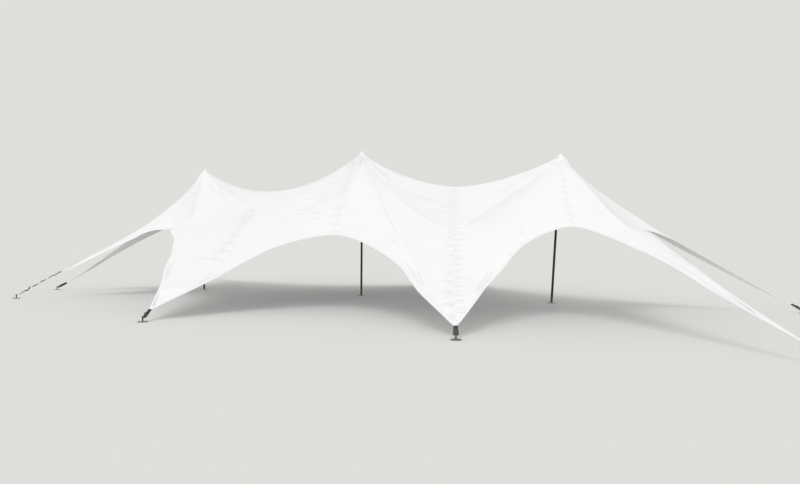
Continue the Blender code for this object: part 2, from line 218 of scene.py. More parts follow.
def solve_net():
    """Balance the net's forces, and return each point's place by its key."""
    index, bars, lines = {}, {}, {}
    for name in PANELS:
        keys = panel_keys(name)
        for cell, key in sorted(keys.items()):
            index.setdefault(key, len(index))
            for step in ((1, 0), (0, 1)):
                beyond = (cell[0] + step[0], cell[1] + step[1])
                if beyond in keys:
                    on_side = cell[0] in (0, NET_CELLS) if step[1] else cell[1] in (0, NET_CELLS)
                    bar = frozenset((key, keys[beyond]))
                    bars[bar] = bars.get(bar, 0.0) + (0.5 if on_side else 1.0)
        for start, end in panel_lines(name):
            lines[frozenset((start, end))] = (start, end)
    for start, end in lines.values():
        for k in range(NET_CELLS):
            bar = frozenset((side_point(start, end, k), side_point(start, end, k + 1)))
            bars[bar] += line_pull(start, end) * NET_CELLS
    for name, pull in DIAGONALS.items():
        keys = panel_keys(name)
        for k in range(NET_CELLS):
            bars[frozenset((keys[k, k], keys[k + 1, k + 1]))] = pull * NET_CELLS
    stiffness = np.zeros((len(index), len(index)))
    for bar, density in bars.items():
        a, b = sorted(index[key] for key in bar)
        stiffness[[a, b], [a, b]] += density
        stiffness[[a, b], [b, a]] -= density
    held = {name: (top.x, top.y, top.z - PEAK_DROP) for name, top in MASTS.items()}
    held.update(ANCHORS)
    fixed = [index[name] for name in held]
    free = np.array(sorted(set(range(len(index))) - set(fixed)))
    places = np.zeros((len(index), 3))
    places[fixed] = list(held.values())
    loads = -stiffness[np.ix_(free, fixed)] @ places[fixed]
    places[free] = np.linalg.solve(stiffness[np.ix_(free, free)], loads)
    return {key: places[n] for key, n in index.items()}


def round_arches(form, reach=6, rows=8, passes=5):
    """Round the middle of each arch, where the seam's pull would leave a corner in its webbing."""
    shifts = {}
    for name, (start, end, _) in EDGES.items():
        keys = [side_point(start, name, k) for k in range(NET_CELLS)]
        keys += [side_point(name, end, k) for k in range(NET_CELLS + 1)]
        line = np.array([form[key] for key in keys])
        eased = smoothed(line.copy(), passes)
        off = np.abs(np.arange(len(keys)) - NET_CELLS)
        fade = np.clip(1.0 - off / (reach * 1.5), 0.0, 1.0)[:, None]
        moves = dict(zip(keys, (eased - line) * fade * (2 - fade)))
        for panel in PANELS:
            grid = panel_keys(panel)
            for (i, j), key in grid.items():
                if key in moves:
                    inward = (-1, 0) if i == NET_CELLS else (0, -1)
                    for row in range(rows):
                        inner = grid[i + inward[0] * row, j + inward[1] * row]
                        share = (1 - row / rows) ** 2
                        shift = moves[key] * share
                        if inner not in shifts or np.abs(shift).sum() > np.abs(shifts[inner]).sum():
                            shifts[inner] = shift
    for key, shift in shifts.items():
        form[key] = form[key] + shift
    return form


def spline_rows(params):
    """The rows that turn a line's net points into places on its natural cubic spline, at the given shares."""
    count = NET_CELLS + 1
    balance, bend = np.eye(count), np.zeros((count, count))
    for k in range(1, NET_CELLS):
        balance[k, k - 1:k + 2] = (1, 4, 1)
        bend[k, k - 1:k + 2] = (6, -12, 6)
    curve = np.linalg.solve(balance, bend)
    x = np.clip(params, 0, 1) * NET_CELLS
    k = np.minimum(x.astype(int), NET_CELLS - 1)
    t = (x - k)[:, None]
    rows = np.zeros((len(params), count))
    rows[np.arange(len(params)), k] += 1 - t[:, 0]
    rows[np.arange(len(params)), k + 1] += t[:, 0]
    return rows + ((1 - t) ** 3 - (1 - t)) / 6 * curve[k] + (t ** 3 - t) / 6 * curve[k + 1]


form = round_arches(solve_net())
grids = {}
for panel in PANELS:
    grids[panel] = np.zeros((NET_CELLS + 1, NET_CELLS + 1, 3))
    for (i, j), key in panel_keys(panel).items():
        grids[panel][i, j] = form[key]


def on_panel(panel, u, v):
    """Places on a panel at the given shares of its first and second directions."""
    count = NET_CELLS + 1
    part = (spline_rows(u) @ grids[panel].reshape(count, count * 3)).reshape(-1, count, 3)
    return np.einsum("pj,pjc->pc", spline_rows(v), part)


def line_places(start, end, at=np.linspace(0, 1, 61)):
    """Places on a seam or half an edge at the given shares of it."""
    points = np.array([form[side_point(start, end, k)] for k in range(NET_CELLS + 1)])
    return spline_rows(at) @ points


# The lines that the cloth folds along


def wander(turn):
    """A smooth random curve between about -1 and 1, which turns over about that length."""
    waves = [(rng.uniform(0.7, 1.7), rng.uniform(0, math.tau)) for _ in range(4)]
    return lambda x: sum(np.sin(math.tau * x / (turn * scale) + phase) for scale, phase in waves) / 2.2


def near(points, path, reach):
    """Which points lie within reach of a path, how far off and along it, on which side, and its length."""
    low, high = path.min(axis=0) - reach, path.max(axis=0) + reach
    found = np.flatnonzero(((points > low) & (points < high)).all(axis=1))
    start, step = path[:-1], np.diff(path, axis=0)
    length = sizes(step)
    before = lengths(path)
    off, along, side = (np.zeros(len(found)) for _ in range(3))
    for chunk in np.array_split(np.arange(len(found)), len(found) // 3000 + 1):
        gap = points[found[chunk], None] - start
        share = np.clip((gap * step).sum(axis=2) / length ** 2, 0, 1)
        away = gap - share[..., None] * step
        distance = np.linalg.norm(away, axis=2)
        k, rows = distance.argmin(axis=1), np.arange(len(chunk))
        off[chunk] = distance[rows, k]
        along[chunk] = before[k] + share[rows, k] * length[k]
        side[chunk] = np.sign(step[k, 0] * away[rows, k, 1] - step[k, 1] * away[rows, k, 0])
    close = off < reach
    return found[close], off[close], along[close], side[close], before[-1]


def net_tree():
    """The net's surface, to find the canopy's height over a place on the ground."""
    points, faces = [], []
    for grid in grids.values():
        first, count = len(points), NET_CELLS + 1
        points += grid.reshape(-1, 3).tolist()
        for i in range(NET_CELLS):
            for j in range(NET_CELLS):
                k = first + i * count + j
                faces.append((k, k + count, k + count + 1, k + 1))
    return BVHTree.FromPolygons(points, faces)


surface = net_tree()


def level(x, y):
    """The canopy's height over a place on the ground, or None beyond its edges."""
    hit = surface.ray_cast(Vector((x, y, 2 * MASTS["middle"].z)), Vector((0, 0, -1)))[0]
    return None if hit is None else hit.z


def draped(plan, steps=48):
    """A smooth line on the canopy over points given in plan."""
    plan = np.array(plan, float)
    reach = lengths(plan)
    line = smoothed(at_lengths(np.linspace(0, reach[-1], steps + 1), reach, plan), 6)
    return np.array([(x, y, level(x, y)) for x, y in line if level(x, y) is not None])


# The canopy's mesh, fine along its seams, folds and edges and coarse on plain cloth


def fine_tree(paths, width, fine):
    """Lines that want fine cloth within a width of them, to be found quickly."""
    samples = []
    for path in paths:
        along = lengths(path)
        samples += at_lengths(np.linspace(0, along[-1], int(along[-1] / 0.04) + 2), along, path).tolist()
    tree = KDTree(len(samples))
    for k, sample in enumerate(samples):
        tree.insert(sample, k)
    tree.balance()
    return tree, width, fine


def spacing(points, fine_trees):
    """How far apart the mesh's points should be at each place."""
    apart, points = np.full(len(points), PLAIN_SPACING), points.tolist()
    for tree, width, fine in fine_trees:
        off = np.array([tree.find(point)[2] for point in points])
        apart = np.minimum(apart, fine + GROWTH * np.maximum(off - width, 0))
    return apart


def shared_line(start, end, fine_trees):
    """The shares at which a line between two panels has its points."""
    at = np.linspace(0, 1, 601)
    places = line_places(start, end, at)
    steps = sizes(np.diff(places, axis=0))
    apart = spacing(places, fine_trees)
    filled = np.concatenate(([0.0], np.cumsum(steps * 2 / (apart[:-1] + apart[1:]))))
    return np.interp(np.linspace(0, filled[-1], max(3, int(round(filled[-1])) + 1)), filled, at)


def inner_points(panel, fine_trees):
    """Places inside a panel: the middles of cells halved along their longer side until they are fine enough."""
    count = 16
    u, v = (grid.ravel() for grid in np.meshgrid(*[(np.arange(count) + 0.5) / count] * 2, indexing="ij"))
    du, dv, kept = np.full(len(u), 0.5 / count), np.full(len(u), 0.5 / count), []
    while len(u):
        here = on_panel(panel, u, v)
        wide = sizes(on_panel(panel, u + du, v) - on_panel(panel, u - du, v))
        tall = sizes(on_panel(panel, u, v + dv) - on_panel(panel, u, v - dv))
        done = np.maximum(wide, tall) < 1.4 * spacing(here, fine_trees)
        kept.append(here[done])
        u, v, du, dv, across = (part[~done] for part in (u, v, du, dv, wide >= tall))
        du, dv = np.where(across, du / 2, du), np.where(across, dv, dv / 2)
        moves = ((u, du * across), (v, dv * ~across))
        u, v = (np.concatenate([part - step, part + step]) for part, step in moves)
        du, dv = np.tile(du, 2), np.tile(dv, 2)
    return np.concatenate(kept)


def sheet_mesh(fine_trees):
    """The canopy's points and triangles, and each line's points in order."""
    points, triangles, corners, lines = [], [], {}, {}
    for panel in PANELS:
        for start, end in panel_lines(panel):
            if (start, end) in lines or (end, start) in lines:
                continue
            places = line_places(start, end, shared_line(start, end, fine_trees))
            for name, place in ((start, places[0]), (end, places[-1])):
                if name not in corners:
                    corners[name] = len(points)
                    points.append(place)
            inner = list(range(len(points), len(points) + len(places) - 2))
            points.extend(places[1:-1])
            lines[start, end] = [corners[start], *inner, corners[end]]
            lines[end, start] = lines[start, end][::-1]
    for panel, (first, second, third, fourth) in PANELS.items():
        loop = []
        for pair in ((first, second), (second, third), (third, fourth), (fourth, first)):
            loop += lines[pair][:-1]
        inner = inner_points(panel, fine_trees)
        ids = np.concatenate([loop, np.arange(len(points), len(points) + len(inner))])
        points.extend(inner)
        plan = [Vector(points[k][:2]) for k in ids]
        found = delaunay_2d_cdt(plan, [], [list(range(len(loop)))], 1, 1e-7)
        source = np.array([ids[own[0]] for own in found[3]])
        triangles.append(source[np.array(found[2])])
    return np.array(points), np.concatenate(triangles), {pair: np.array(ids) for pair, ids in lines.items()}


def vertex_normals(points, triangles):
    """The direction out of the cloth at each point."""
    a, b, c = points[triangles].transpose(1, 0, 2)
    across = np.cross(b - a, c - a)
    total = np.zeros_like(points)
    for k in range(3):
        np.add.at(total, triangles[:, k], across)
    return total / np.maximum(sizes(total), 1e-12)[:, None]


# Long creases: their line in plan, height, width, how much one flank stands over the other, how much painted shade
# its hollow gets, and how much painted shade the cloth beside it gets in its lee, on its left if positive and on its
# right if negative
CREASES = {
    "upper_vee": (((0.33, -0.39), (0.81, -0.76), (1.43, -1.24), (2.11, -1.57), (2.85, -1.73), (3.95, -2.0)),
        0.022, 0.14, 0.9, 0, -0.32),
    "lower_vee": (((1.9, -2.0), (2.8, -2.85), (3.48, -3.44), (4.01, -3.79), (4.57, -4.21)),
        0.016, 0.09, 0.7, 0, 0.16),
    "right_vee": (((7.08, -0.32), (6.73, -0.61), (6.32, -1.24), (5.91, -1.9), (5.51, -2.75), (5.07, -3.54),
        (4.83, -4.2)),
        0.026, 0.14, -0.9, 0, 0.36),
    "middle_to_arch": (((0.35, -0.45), (1.21, -1.62), (1.9, -2.7), (2.55, -3.74), (3.34, -4.85)),
        -0.005, 0.026, 0.5, 0.30, 0),
    "arch_hook": (((3.34, -4.85), (3.28, -5.15), (3.18, -5.41)), -0.006, 0.024, 0.5, 0.35, 0),
    "middle_arm": (((3.3, -4.85), (3.85, -5.65), (4.65, -6.7), (5.4, -7.65)), 0.014, 0.10, 0.4, 0, 0.08),
    "right_to_arch": (((6.9, -1.3), (6.7, -2.3), (6.62, -3.3), (6.51, -4.19)), -0.003, 0.028, 0.6, 0.14, 0),
    "right_arch_hook": (((6.51, -4.19), (6.62, -4.5), (6.85, -4.89)), -0.005, 0.018, 0.4, 0.35, 0),
    "right_end_ridge": (((7.6, -0.5), (8.1, -1.4), (8.45, -2.27), (8.8, -3.2), (9.1, -3.94), (9.49, -4.55)),
        0.035, 0.14, 0.5, 0, 0.42),
    "left_ridge": (((-7.05, -0.3), (-6.5, -1.1), (-5.96, -1.96), (-5.3, -2.85), (-4.69, -3.72)),
        0.018, 0.13, -0.6, 0, -0.32),
    "middle_seam_lee": (((-0.05, -0.25), (0.2, -1.21), (0.55, -2.4), (0.8, -3.1)), 0.010, 0.10, -0.8, 0, -0.34),
    "left_peak": (((-6.8, -0.25), (-5.75, -0.8), (-4.7, -1.5), (-3.6, -2.3)), -0.006, 0.035, 0.5, 0.18, 0),
    "left_arm": (((-2.0, -5.1), (-1.75, -5.9), (-1.7, -6.6), (-1.7, -7.4)), -0.012, 0.07, 0.4, 0.15, 0),
    "right_arm_low": (((9.6, -5.4), (10.4, -6.4), (11.1, -7.6), (11.6, -8.4)), -0.010, 0.045, 0.2, 0.25, 0),
    "right_arm_high": (((9.9, -4.9), (10.8, -6.3), (11.4, -7.6), (11.75, -8.5)), -0.010, 0.045, 0.2, 0.25, 0),
    "back_left": (((-7.8, 1.3), (-8.6, 2.2), (-9.6, 3.4), (-10.8, 4.8)), 0.022, 0.16, 0.4, 0, 0.2),
    "back_middle": (((0.2, 0.5), (0.9, 2.4), (1.5, 4.4), (1.9, 6.4)), 0.030, 0.15, -0.5, 0, -0.2),
    "back_right": (((7.0, 0.4), (5.8, 2.3), (4.3, 4.6), (3.1, 6.8)), 0.026, 0.14, 0.5, 0, 0.2),
    "back_left_fan": (((-6.6, 0.35), (-6.2, 1.3), (-6.0, 2.2)), -0.010, 0.05, 0.4, 0.2, 0),
    "back_right_fan": (((0.4, 0.35), (1.9, 1.5), (3.2, 2.6)), -0.010, 0.05, 0.5, 0.2, 0),
}
LEE = 0.38  # how far the painted shade in a lee reaches
# Short wrinkles: the corner they start at, their reach along X and Y, their slope, how many, and their height
WRINKLE_ROWS = (
    ((-3.4, -1.0), (3.2, -1.1), 0.06, 30, 0.0050),
    ((-2.7, -2.1), (2.9, -1.9), 0.16, 34, 0.0050),
    ((-1.6, -3.9), (2.2, -0.8), 0.20, 7, 0.0040),
    ((2.4, -1.8), (1.9, -1.3), 0.05, 9, 0.0055),
    ((4.5, -0.9), (1.2, -1.0), 0.05, 6, 0.0050),
    ((-4.6, 0.3), (3.2, 1.4), 0.0, 11, 0.0050),
)
# Folds that run out from a mast: the angles they lie between, how many, where they start, their length and height
FANS = (
    ("middle", 184, 226, 19, 0.25, 2.4, 0.0082),
    ("middle", -36, -6, 9, 0.35, 2.0, 0.0078),
    ("middle", 232, 300, 11, 0.20, 0.7, 0.0050),
    ("left", -42, -12, 7, 0.9, 1.9, 0.0045),
    ("right", 225, 315, 8, 0.20, 0.45, 0.0040),
    ("right", 185, 215, 7, 0.5, 1.6, 0.0050),
    ("middle", 60, 150, 10, 0.3, 1.2, 0.0060),
    ("left", 60, 140, 8, 0.3, 1.2, 0.0060),
    ("right", 60, 150, 8, 0.3, 1.2, 0.0060),
)
EDGE_FOLDS = (  # an arm's anchor, the arch that its edge runs to, and the point that the folds lean towards
    ("front_left_bay", "front_left_arch", "left_saddle"),
    ("front_left_bay", "front_middle_arch", "left_saddle"),
    ("front_right_bay", "front_right_arch", "right_saddle"),
    ("front_right_bay", "front_middle_arch", "right_saddle"),
    ("front_right_corner", "front_right_arch", "right_end_arch"),
    ("back_left_bay", "back_middle_arch", "back_left_arch"),
    ("back_right_bay", "back_middle_arch", "back_right_arch"),
)
# Seams that draw the cloth in most: how much, and how far their puckers slant
STRONG_SEAMS = {("left_saddle", "front_left_bay"): (1.5, 0.9), ("right_saddle", "front_right_bay"): (1.35, 0.35),
                ("middle", "front_middle_arch"): (1.0, 0.3)}
PLAIN_SEAM = (0.55, 0.3)
PUCKER_HEIGHT, PUCKER_REACH = 0.0080, 0.14
STRONG_WAVE, PLAIN_WAVE = 0.098, 0.125  # how far apart the puckers are
EDGE_FOLD_HEIGHT, EDGE_FOLD_SHARES = 0.0045, (0.05, 0.11, 0.18)  # shares of the way to what they lean towards
WRINKLE_WIDTH = 0.022
NARROW = 0.04  # creases under this width want the finest cloth
OFTEN_HOLLOW = (-1, -1, 1)  # two folds in three are hollows


def wrinkle_lines():
    """Each short wrinkle's line on the canopy and its height."""
    for (x, y), (across, down), slope, count, height in WRINKLE_ROWS:
        for k in range(count):
            start, long = rng.uniform(0, 0.85) * across, rng.uniform(0.25, 0.75)
            row = y + down * (k + rng.uniform(0.1, 0.9)) / count + slope * start
            middle = row + slope * long / 2 + rng.uniform(-0.06, 0.06)
            plan = [(x + start, row), (x + start + long / 2, middle), (x + start + long, row + slope * long)]
            yield draped(plan, 20), height * rng.uniform(0.6, 1.2) * rng.choice(OFTEN_HOLLOW)


def fan_lines():
    """The folds that run out from the masts, and their heights."""
    for mast, low, high, count, start, length, height in FANS:
        for k in range(count):
            angle = math.radians(low + (high - low) * (k + rng.uniform(0.15, 0.85)) / count)
            bend = rng.uniform(-0.10, 0.10)
            near_end = start * rng.uniform(0.8, 2.6)
            reach = np.linspace(near_end, near_end + length * rng.uniform(0.35, 1.0), 5)
            turn = angle + bend * (reach - near_end) / length
            plan = np.stack([reach * np.cos(turn), reach * np.sin(turn)], axis=1) + MASTS[mast].xy
            yield draped(plan, 16), height * rng.uniform(0.5, 1.2) * rng.choice(OFTEN_HOLLOW)


def edge_lines():
    """The fine folds that run up the arms beside their edges, and their heights."""
    for anchor, arch, other in EDGE_FOLDS:
        for share in EDGE_FOLD_SHARES:
            at = np.linspace(rng.uniform(0.10, 0.19), rng.uniform(0.28, 0.42), 14)
            plan = (1 - share) * line_places(anchor, arch, at) + share * line_places(anchor, other, at)
            yield draped(plan[:, :2], 20), -EDGE_FOLD_HEIGHT * rng.uniform(0.7, 1.2)


creases = {name: draped(row[0]) for name, row in CREASES.items()}
fold_lines = (*wrinkle_lines(), *fan_lines(), *edge_lines())
wrinkles = [(path, height) for path, height in fold_lines if len(path) > 8]
arch_lines = [pair for name, (start, end, _) in EDGES.items() for pair in ((start, name), (name, end))]
arches = [line_places(*pair) for pair in arch_lines]
soft_seams = [pair for pair in SEAMS if pair not in STRONG_SEAMS]
narrow = [path for name, path in creases.items() if CREASES[name][2] < NARROW]
wide = [path for name, path in creases.items() if CREASES[name][2] >= NARROW]
peaks = [np.array([(top.x + side, 0, top.z - PEAK_DROP) for side in (-0.01, 0.01)]) for top in MASTS.values()]
fine_trees = [fine_tree(*row) for row in (  # lines, how far off them the cloth is at its finest, and how fine
    ([line_places(*pair) for pair in STRONG_SEAMS], 0.17, 0.023),
    ([line_places(*pair) for pair in soft_seams if "back" not in pair[1]], 0.09, 0.034),
    ([line_places(*pair) for pair in soft_seams], 0.08, 0.050),
    (arches, 0.04, 0.042), (narrow, 0.025, 0.020), (wide, 0.10, 0.060),
    ([path for path, height in wrinkles], 0.02, 0.022), (peaks, 0.16, 0.012), (peaks, 0.45, 0.019))]
base, triangles, line_ids = sheet_mesh(fine_trees)
lift = np.zeros(len(base))
painted_shade = np.zeros(len(base))  # how much painted shade the cloth gets in its folds, lees and dents, from 0 to 1


def fold_in(found, height, depth):
    """Add a fold's height, and as its depth the painted shade of its hollow, to some of the sheet's points."""
    lift[found] += height
    painted_shade[found] = np.maximum(painted_shade[found], np.clip(depth, 0, 1))


def around(points, top):
    """How far points are from a mast's axis, along X and Y and in all."""
    away = points[:, :2] - (top.x, top.y)
    return away, np.hypot(away[:, 0], away[:, 1])


def middle_of(node):
    low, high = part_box(node)
    return (low + high) / 2


def level_arm(anchor):
    """The level direction up the middle of an arm, from where its clamp and its post stand."""
    away = middle_of(f"clamp_{anchor}") - middle_of(f"ground_anchor_{anchor}")
    return Vector((away.x, away.y, 0.0)).normalized()


arm_inward = {anchor: level_arm(anchor) for anchor in ANCHORS}


def on_arm(points, anchor):
    """How far points are from an arm's tip, how far up its middle line, and how far to the side of that."""
    gap, inward = points - np.array(ANCHORS[anchor]), arm_inward[anchor]
    ahead = gap[:, 0] * inward.x + gap[:, 1] * inward.y
    return sizes(gap), ahead, gap[:, 1] * inward.x - gap[:, 0] * inward.y


def pucker(path, height, wave, reach, slant):
    """Short folds on each side of a line of stitching that draws the cloth in, with painted shade in their hollows.
    """
    found, off, along, side, length = near(base, path, reach * 3.2)
    for turn in (-1, 1):
        drift, strength, spread, skew = wander(0.8), wander(0.35), wander(0.30), wander(1.1)
        on = side == turn
        s, away = along[on], off[on]
        phase = math.tau * (s + (slant + 0.25 * skew(s)) * away) / wave + 2.2 * drift(s)
        fold = (0.5 + 0.5 * np.cos(phase)) ** 1.6
        fade = np.exp(-(away / (reach * (0.85 + 0.5 * spread(s)))) ** 2) * (1 - 0.9 * np.exp(-(away / 0.02) ** 2))
        fade *= both_ends(s, length, 0.35) * (0.55 + 0.45 * strength(s))
        fold_in(found[on], height * fade * (fold - 0.35), 0.9 * fade * (1 - 2.2 * fold))


def gather(mast, folds, steepness, reach):
    """Folds that run out from a peak, with painted shade in their hollows."""
    away, distance = around(base, MASTS[mast])
    found = np.flatnonzero(distance < reach * 2.4)
    distance, angle = distance[found], np.arctan2(away[found, 1], away[found, 0])
    shift = [rng.uniform(0, math.tau) for _ in range(5)]
    bend = 0.9 * np.sin(2 * angle + shift[0]) + 0.6 * np.sin(5 * angle + shift[1])
    fold = 0.62 * np.cos(folds * angle + bend * 1.6 + shift[2])
    fold += 0.38 * np.cos(round(folds * 1.62) * angle + bend + shift[3])
    spread = reach * (1 + 0.30 * np.sin(3 * angle + shift[4]))
    fade = np.exp(-(distance / spread) ** 2) * ease((distance - 0.05) / 0.12)
    fold_in(found, steepness * distance / folds * fade * fold, 2.2 * steepness * fade * -fold)


def arm_folds(anchor, steepness, reach):
    """Folds that run up an arm from its clamp, with painted shade in their hollows."""
    away, ahead, across = on_arm(base, anchor)
    found = np.flatnonzero((away < reach * 2.2) & (ahead > 0))
    ahead, across = ahead[found], across[found]
    distance, angle = np.maximum(np.hypot(ahead, across), 1e-6), np.arctan2(across, ahead)
    turns = 4.5 * math.tau / np.ptp(angle[distance > 0.3])
    fold = 0.7 * np.cos(turns * angle + rng.uniform(0, math.tau))
    fold += 0.3 * np.cos(turns * 1.7 * angle + rng.uniform(0, math.tau))
    fade = ease(distance / 0.3) * np.exp(-(distance / reach) ** 2)
    fold_in(found, steepness * distance / turns * fade * fold, 0.2 * fade * -fold)


def crease(path, height, width, tilt, shade, lee=0.0):
    """One long soft fold, one flank standing over the other, with painted shade in its hollow and in its lee on one
    side.
    """
    found, off, along, side, length = near(base, path, max(width * 4, LEE * 2.5 * (lee != 0)))
    reach = min(0.9, length / 3)
    fade = both_ends(along, length, reach)
    flank = side * tilt * (off / width) * np.exp(-off / width)
    fold = np.exp(-(off / width) ** 2)
    lee_shade = (side * lee > 0) * abs(lee) * np.exp(-off / LEE) * (off < LEE * 2.4)
    fold_in(found, height * fade * (fold + flank), fade * (fold * shade + lee_shade))


def swell(height, low, high, count):
    """A broad unevenness, as in cloth that has been folded away and put up many times."""
    total = np.zeros(len(base))
    for _ in range(count):
        way = rng.normal(size=3)
        way *= math.tau / (rng.uniform(low, high) * np.linalg.norm(way))
        total += np.sin(base @ way + rng.uniform(0, math.tau))
    return height * total / math.sqrt(count)


for pair in SEAMS:
    share, slant = STRONG_SEAMS.get(pair, PLAIN_SEAM)
    at = np.linspace(0, 0.78 if pair[1] == "front_left_bay" else 1, 61)
    wave = STRONG_WAVE if pair in STRONG_SEAMS else PLAIN_WAVE
    pucker(line_places(*pair, at), PUCKER_HEIGHT * share, wave, PUCKER_REACH * share, slant)
pucker(line_places("left_saddle", "front_left_bay", np.linspace(0.12, 0.42, 20)), 0.012, 0.090, 0.20, 0.9)
for pair in arch_lines:
    pucker(line_places(*pair), 0.0035, 0.15, 0.08, 0.25)
GATHERS = {  # round each mast: how many folds, how steep they are, and how far out they run
    "left": (17, 0.30, 0.36),
    "middle": (25, 0.95, 0.62),
    "right": (27, 0.42, 0.28),
}
ARM_FOLD_STEEPNESS, ARM_FOLD_REACH = 0.42, 1.5
for mast, row in GATHERS.items():
    gather(mast, *row)
for anchor in ANCHORS:
    arm_folds(anchor, ARM_FOLD_STEEPNESS, ARM_FOLD_REACH)
for name, path in creases.items():
    crease(path, *CREASES[name][1:])
# the hollow wrinkles, fan folds and edge folds get painted shade along them
for path, height in wrinkles:
    crease(path, height, WRINKLE_WIDTH, 0.3, 0.5 * (height < 0))
DIMPLE = (-1.55, -7.0)  # where the front left bay's arm is a little dented, with painted shade in the dent
dimple = np.exp(-(sizes(base - (*DIMPLE, level(*DIMPLE))) / 0.13) ** 2)
fold_in(np.arange(len(base)), -0.012 * dimple, 0.3 * dimple)
lift += swell(0.0045, 0.6, 1.5, 24) + swell(0.0015, 0.25, 0.5, 24)

ARM_REACH = 1.8  # how far off its middle line an arm's cloth may lie


def arm_cloth(anchor, reach):
    """Which points are on an arm, how far along it, its two edges beside each, and a share that fades out off it."""
    sides = {name: line_places(anchor, name) for name in EDGES if anchor in EDGES[name][:2]}
    middle = sum(sides.values()) / 2
    along = lengths(middle)
    found, off, at = near(base, middle[along < reach + 0.3], ARM_REACH)[:3]
    beside = {name: at_lengths(at, along, side) for name, side in sides.items()}
    return found, at, beside, ease((ARM_REACH - off) / 0.6)


def hang_arm(anchor, edge, drop, reach):
    """Let the far side of an arm hang lower than the edge named, by no more than its width allows."""
    found, at, beside, fade = arm_cloth(anchor, reach)
    held = beside.pop(edge)
    across = sum(beside.values()) - held
    width = np.maximum(sizes(across), 0.01)
    share = np.clip(((base[found] - held) * across).sum(axis=1) / width ** 2, 0, 1.3)
    fall = np.minimum(drop, 0.7 * width) * ease(at / 0.3) * ease((reach - at) / (reach * 0.4))
    base[found, 2] -= fall * fade * share


def spread_arm(anchor, gain, reach):
    """Spread an arm's cloth to both sides of its middle near its end, but not at its clamp."""
    found, at, beside, fade = arm_cloth(anchor, reach)
    share = gain * fade * ease(at / 0.25) * (1 - ease((at - 0.3) / (reach - 0.3)))
    base[found] += (base[found] - sum(beside.values()) / 2) * share[:, None]


def slide(path, shift, reach):
    """Move the cloth along its own surface beside a line, most at the line's middle and not at its edges."""
    edge_tree = fine_tree(arches, 0, 0)[0]
    found, off, along, _, length = near(base, path, reach)
    inside = np.array([edge_tree.find(point)[2] for point in base[found].tolist()])
    share = np.sin(math.pi * along / length) * ease((reach - off) / reach) * ease(inside / 0.9)
    for k, part in zip(found, share):
        x, y = base[k, :2] + np.array(shift) * part
        old, new = level(*base[k, :2]), level(x, y)
        if old is not None and new is not None:
            base[k] = (x, y, base[k, 2] + new - old)


# How the hanging sheet differs from its net: arms that roll and spread, and cloth drawn to one side
HANGS = {  # the edge on an arm's upper side, how much lower its other side hangs, and how far up the arm
    "front_left_corner": ("left_end_arch", 0.08, 5.4),
    "back_left_corner": ("left_end_arch", 0.03, 2.0),
    "back_right_corner": ("right_end_arch", 0.11, 4.8),
    "front_right_corner": ("right_end_arch", 0.11, 3.8),
}
SPREADS = {"front_right_bay": 0.42, "front_left_bay": 0.25, "back_left_bay": 0.3, "back_right_bay": 0.3}
SPREAD_REACH = 2.1
PULLS = (  # a place by a line and a share of it, how far the cloth is drawn there, and the reach of that
    ("front_left_bay", "front_middle_arch", 0.29, (0.04, 0.0, -0.10), 1.3),
    ("front_left_bay", "front_left_arch", 1.0, (0.36, 0.07, -0.03), 0.65),
    ("front_left_corner", "front_left_arch", 0.85, (0.0, 0.0, 0.08), 0.6),
    ("front_left_bay", "front_left_arch", 0.65, (0.10, 0.0, 0.0), 0.75),
    ("front_right_corner", "right_end_arch", 1.0, (-0.18, -0.07, -0.01), 0.8),
    ("front_right_bay", "front_right_arch", 0.30, (0.12, -0.02, -0.08), 0.95),
    ("front_left_bay", "front_left_arch", 0.25, (-0.14, 0.0, 0.0), 0.9),
    ("front_right_bay", "front_middle_arch", 0.22, (-0.13, 0.0, -0.05), 0.8),
    ("front_right_bay", "front_middle_arch", 1.0, (0.08, 0.03, -0.08), 1.0),
)
slide(line_places("left_saddle", "front_left_bay"), (0.45, 0.0), 1.4)
for anchor, row in HANGS.items():
    hang_arm(anchor, *row)
for anchor, gain in SPREADS.items():
    spread_arm(anchor, gain, SPREAD_REACH)
for start, end, share, shift, reach in PULLS:
    away = sizes(base - line_places(start, end, np.array([share])))
    base += np.exp(-(away / reach) ** 2)[:, None] * np.array(shift)

shaped = base + vertex_normals(base, triangles) * lift[:, None]
NECK_REACH = 0.5  # how far out from a mast the cloth is drawn up into a neck under its cap
NECK_BEND = 0.015  # how softly the neck runs out into the cloth
for mast, (radius, height) in CAPS.items():
    top = MASTS[mast]
    distance = around(shaped, top)[1]
    found = np.flatnonzero(distance < NECK_REACH)
    plain, inside = shaped[found, 2], radius - distance[found]
    neck = top.z - height - CAP_THICKNESS - UNDER_CAP + inside * np.where(inside > 0, height / radius, 1.1)
    bent = (plain + neck + np.hypot(plain - neck, NECK_BEND) - NECK_BEND * np.exp(-(inside / 0.03) ** 2)) / 2
    bent = plain + (bent - plain) * ease((NECK_REACH - distance[found]) / 0.32)
    shaped[found, 2] = np.where(inside > 0, neck, bent)
for top in MASTS.values():  # the cloth stops at the mast's head
    away, distance = around(shaped, top)
    close = (distance < HEAD_RADIUS) & (distance > 1e-6)
    shaped[close, :2] = (top.x, top.y) + away[close] / distance[close, None] * HEAD_RADIUS


def within(points, mast_reach, tip_reach):
    """Which points are in a mast's head or past an arm's clamp."""
    hidden = np.zeros(len(points), bool)
    for top in MASTS.values():
        hidden |= around(points, top)[1] < mast_reach
    for anchor in ANCHORS:
        away, ahead, _ = on_arm(points, anchor)
        hidden |= (away < 0.5) & (ahead < tip_reach)
    return hidden


cloth = triangles[~within(shaped, HEAD_RADIUS + HEAD_GAP, CLAMP_REACH)[triangles].any(axis=1)]


def added(name, data):
    obj = bpy.data.objects.new(name, data)
    bpy.context.scene.collection.objects.link(obj)
    return obj


SHEET_SHARP, METAL_SHARP = 40, 35  # angles in degrees that still look smooth


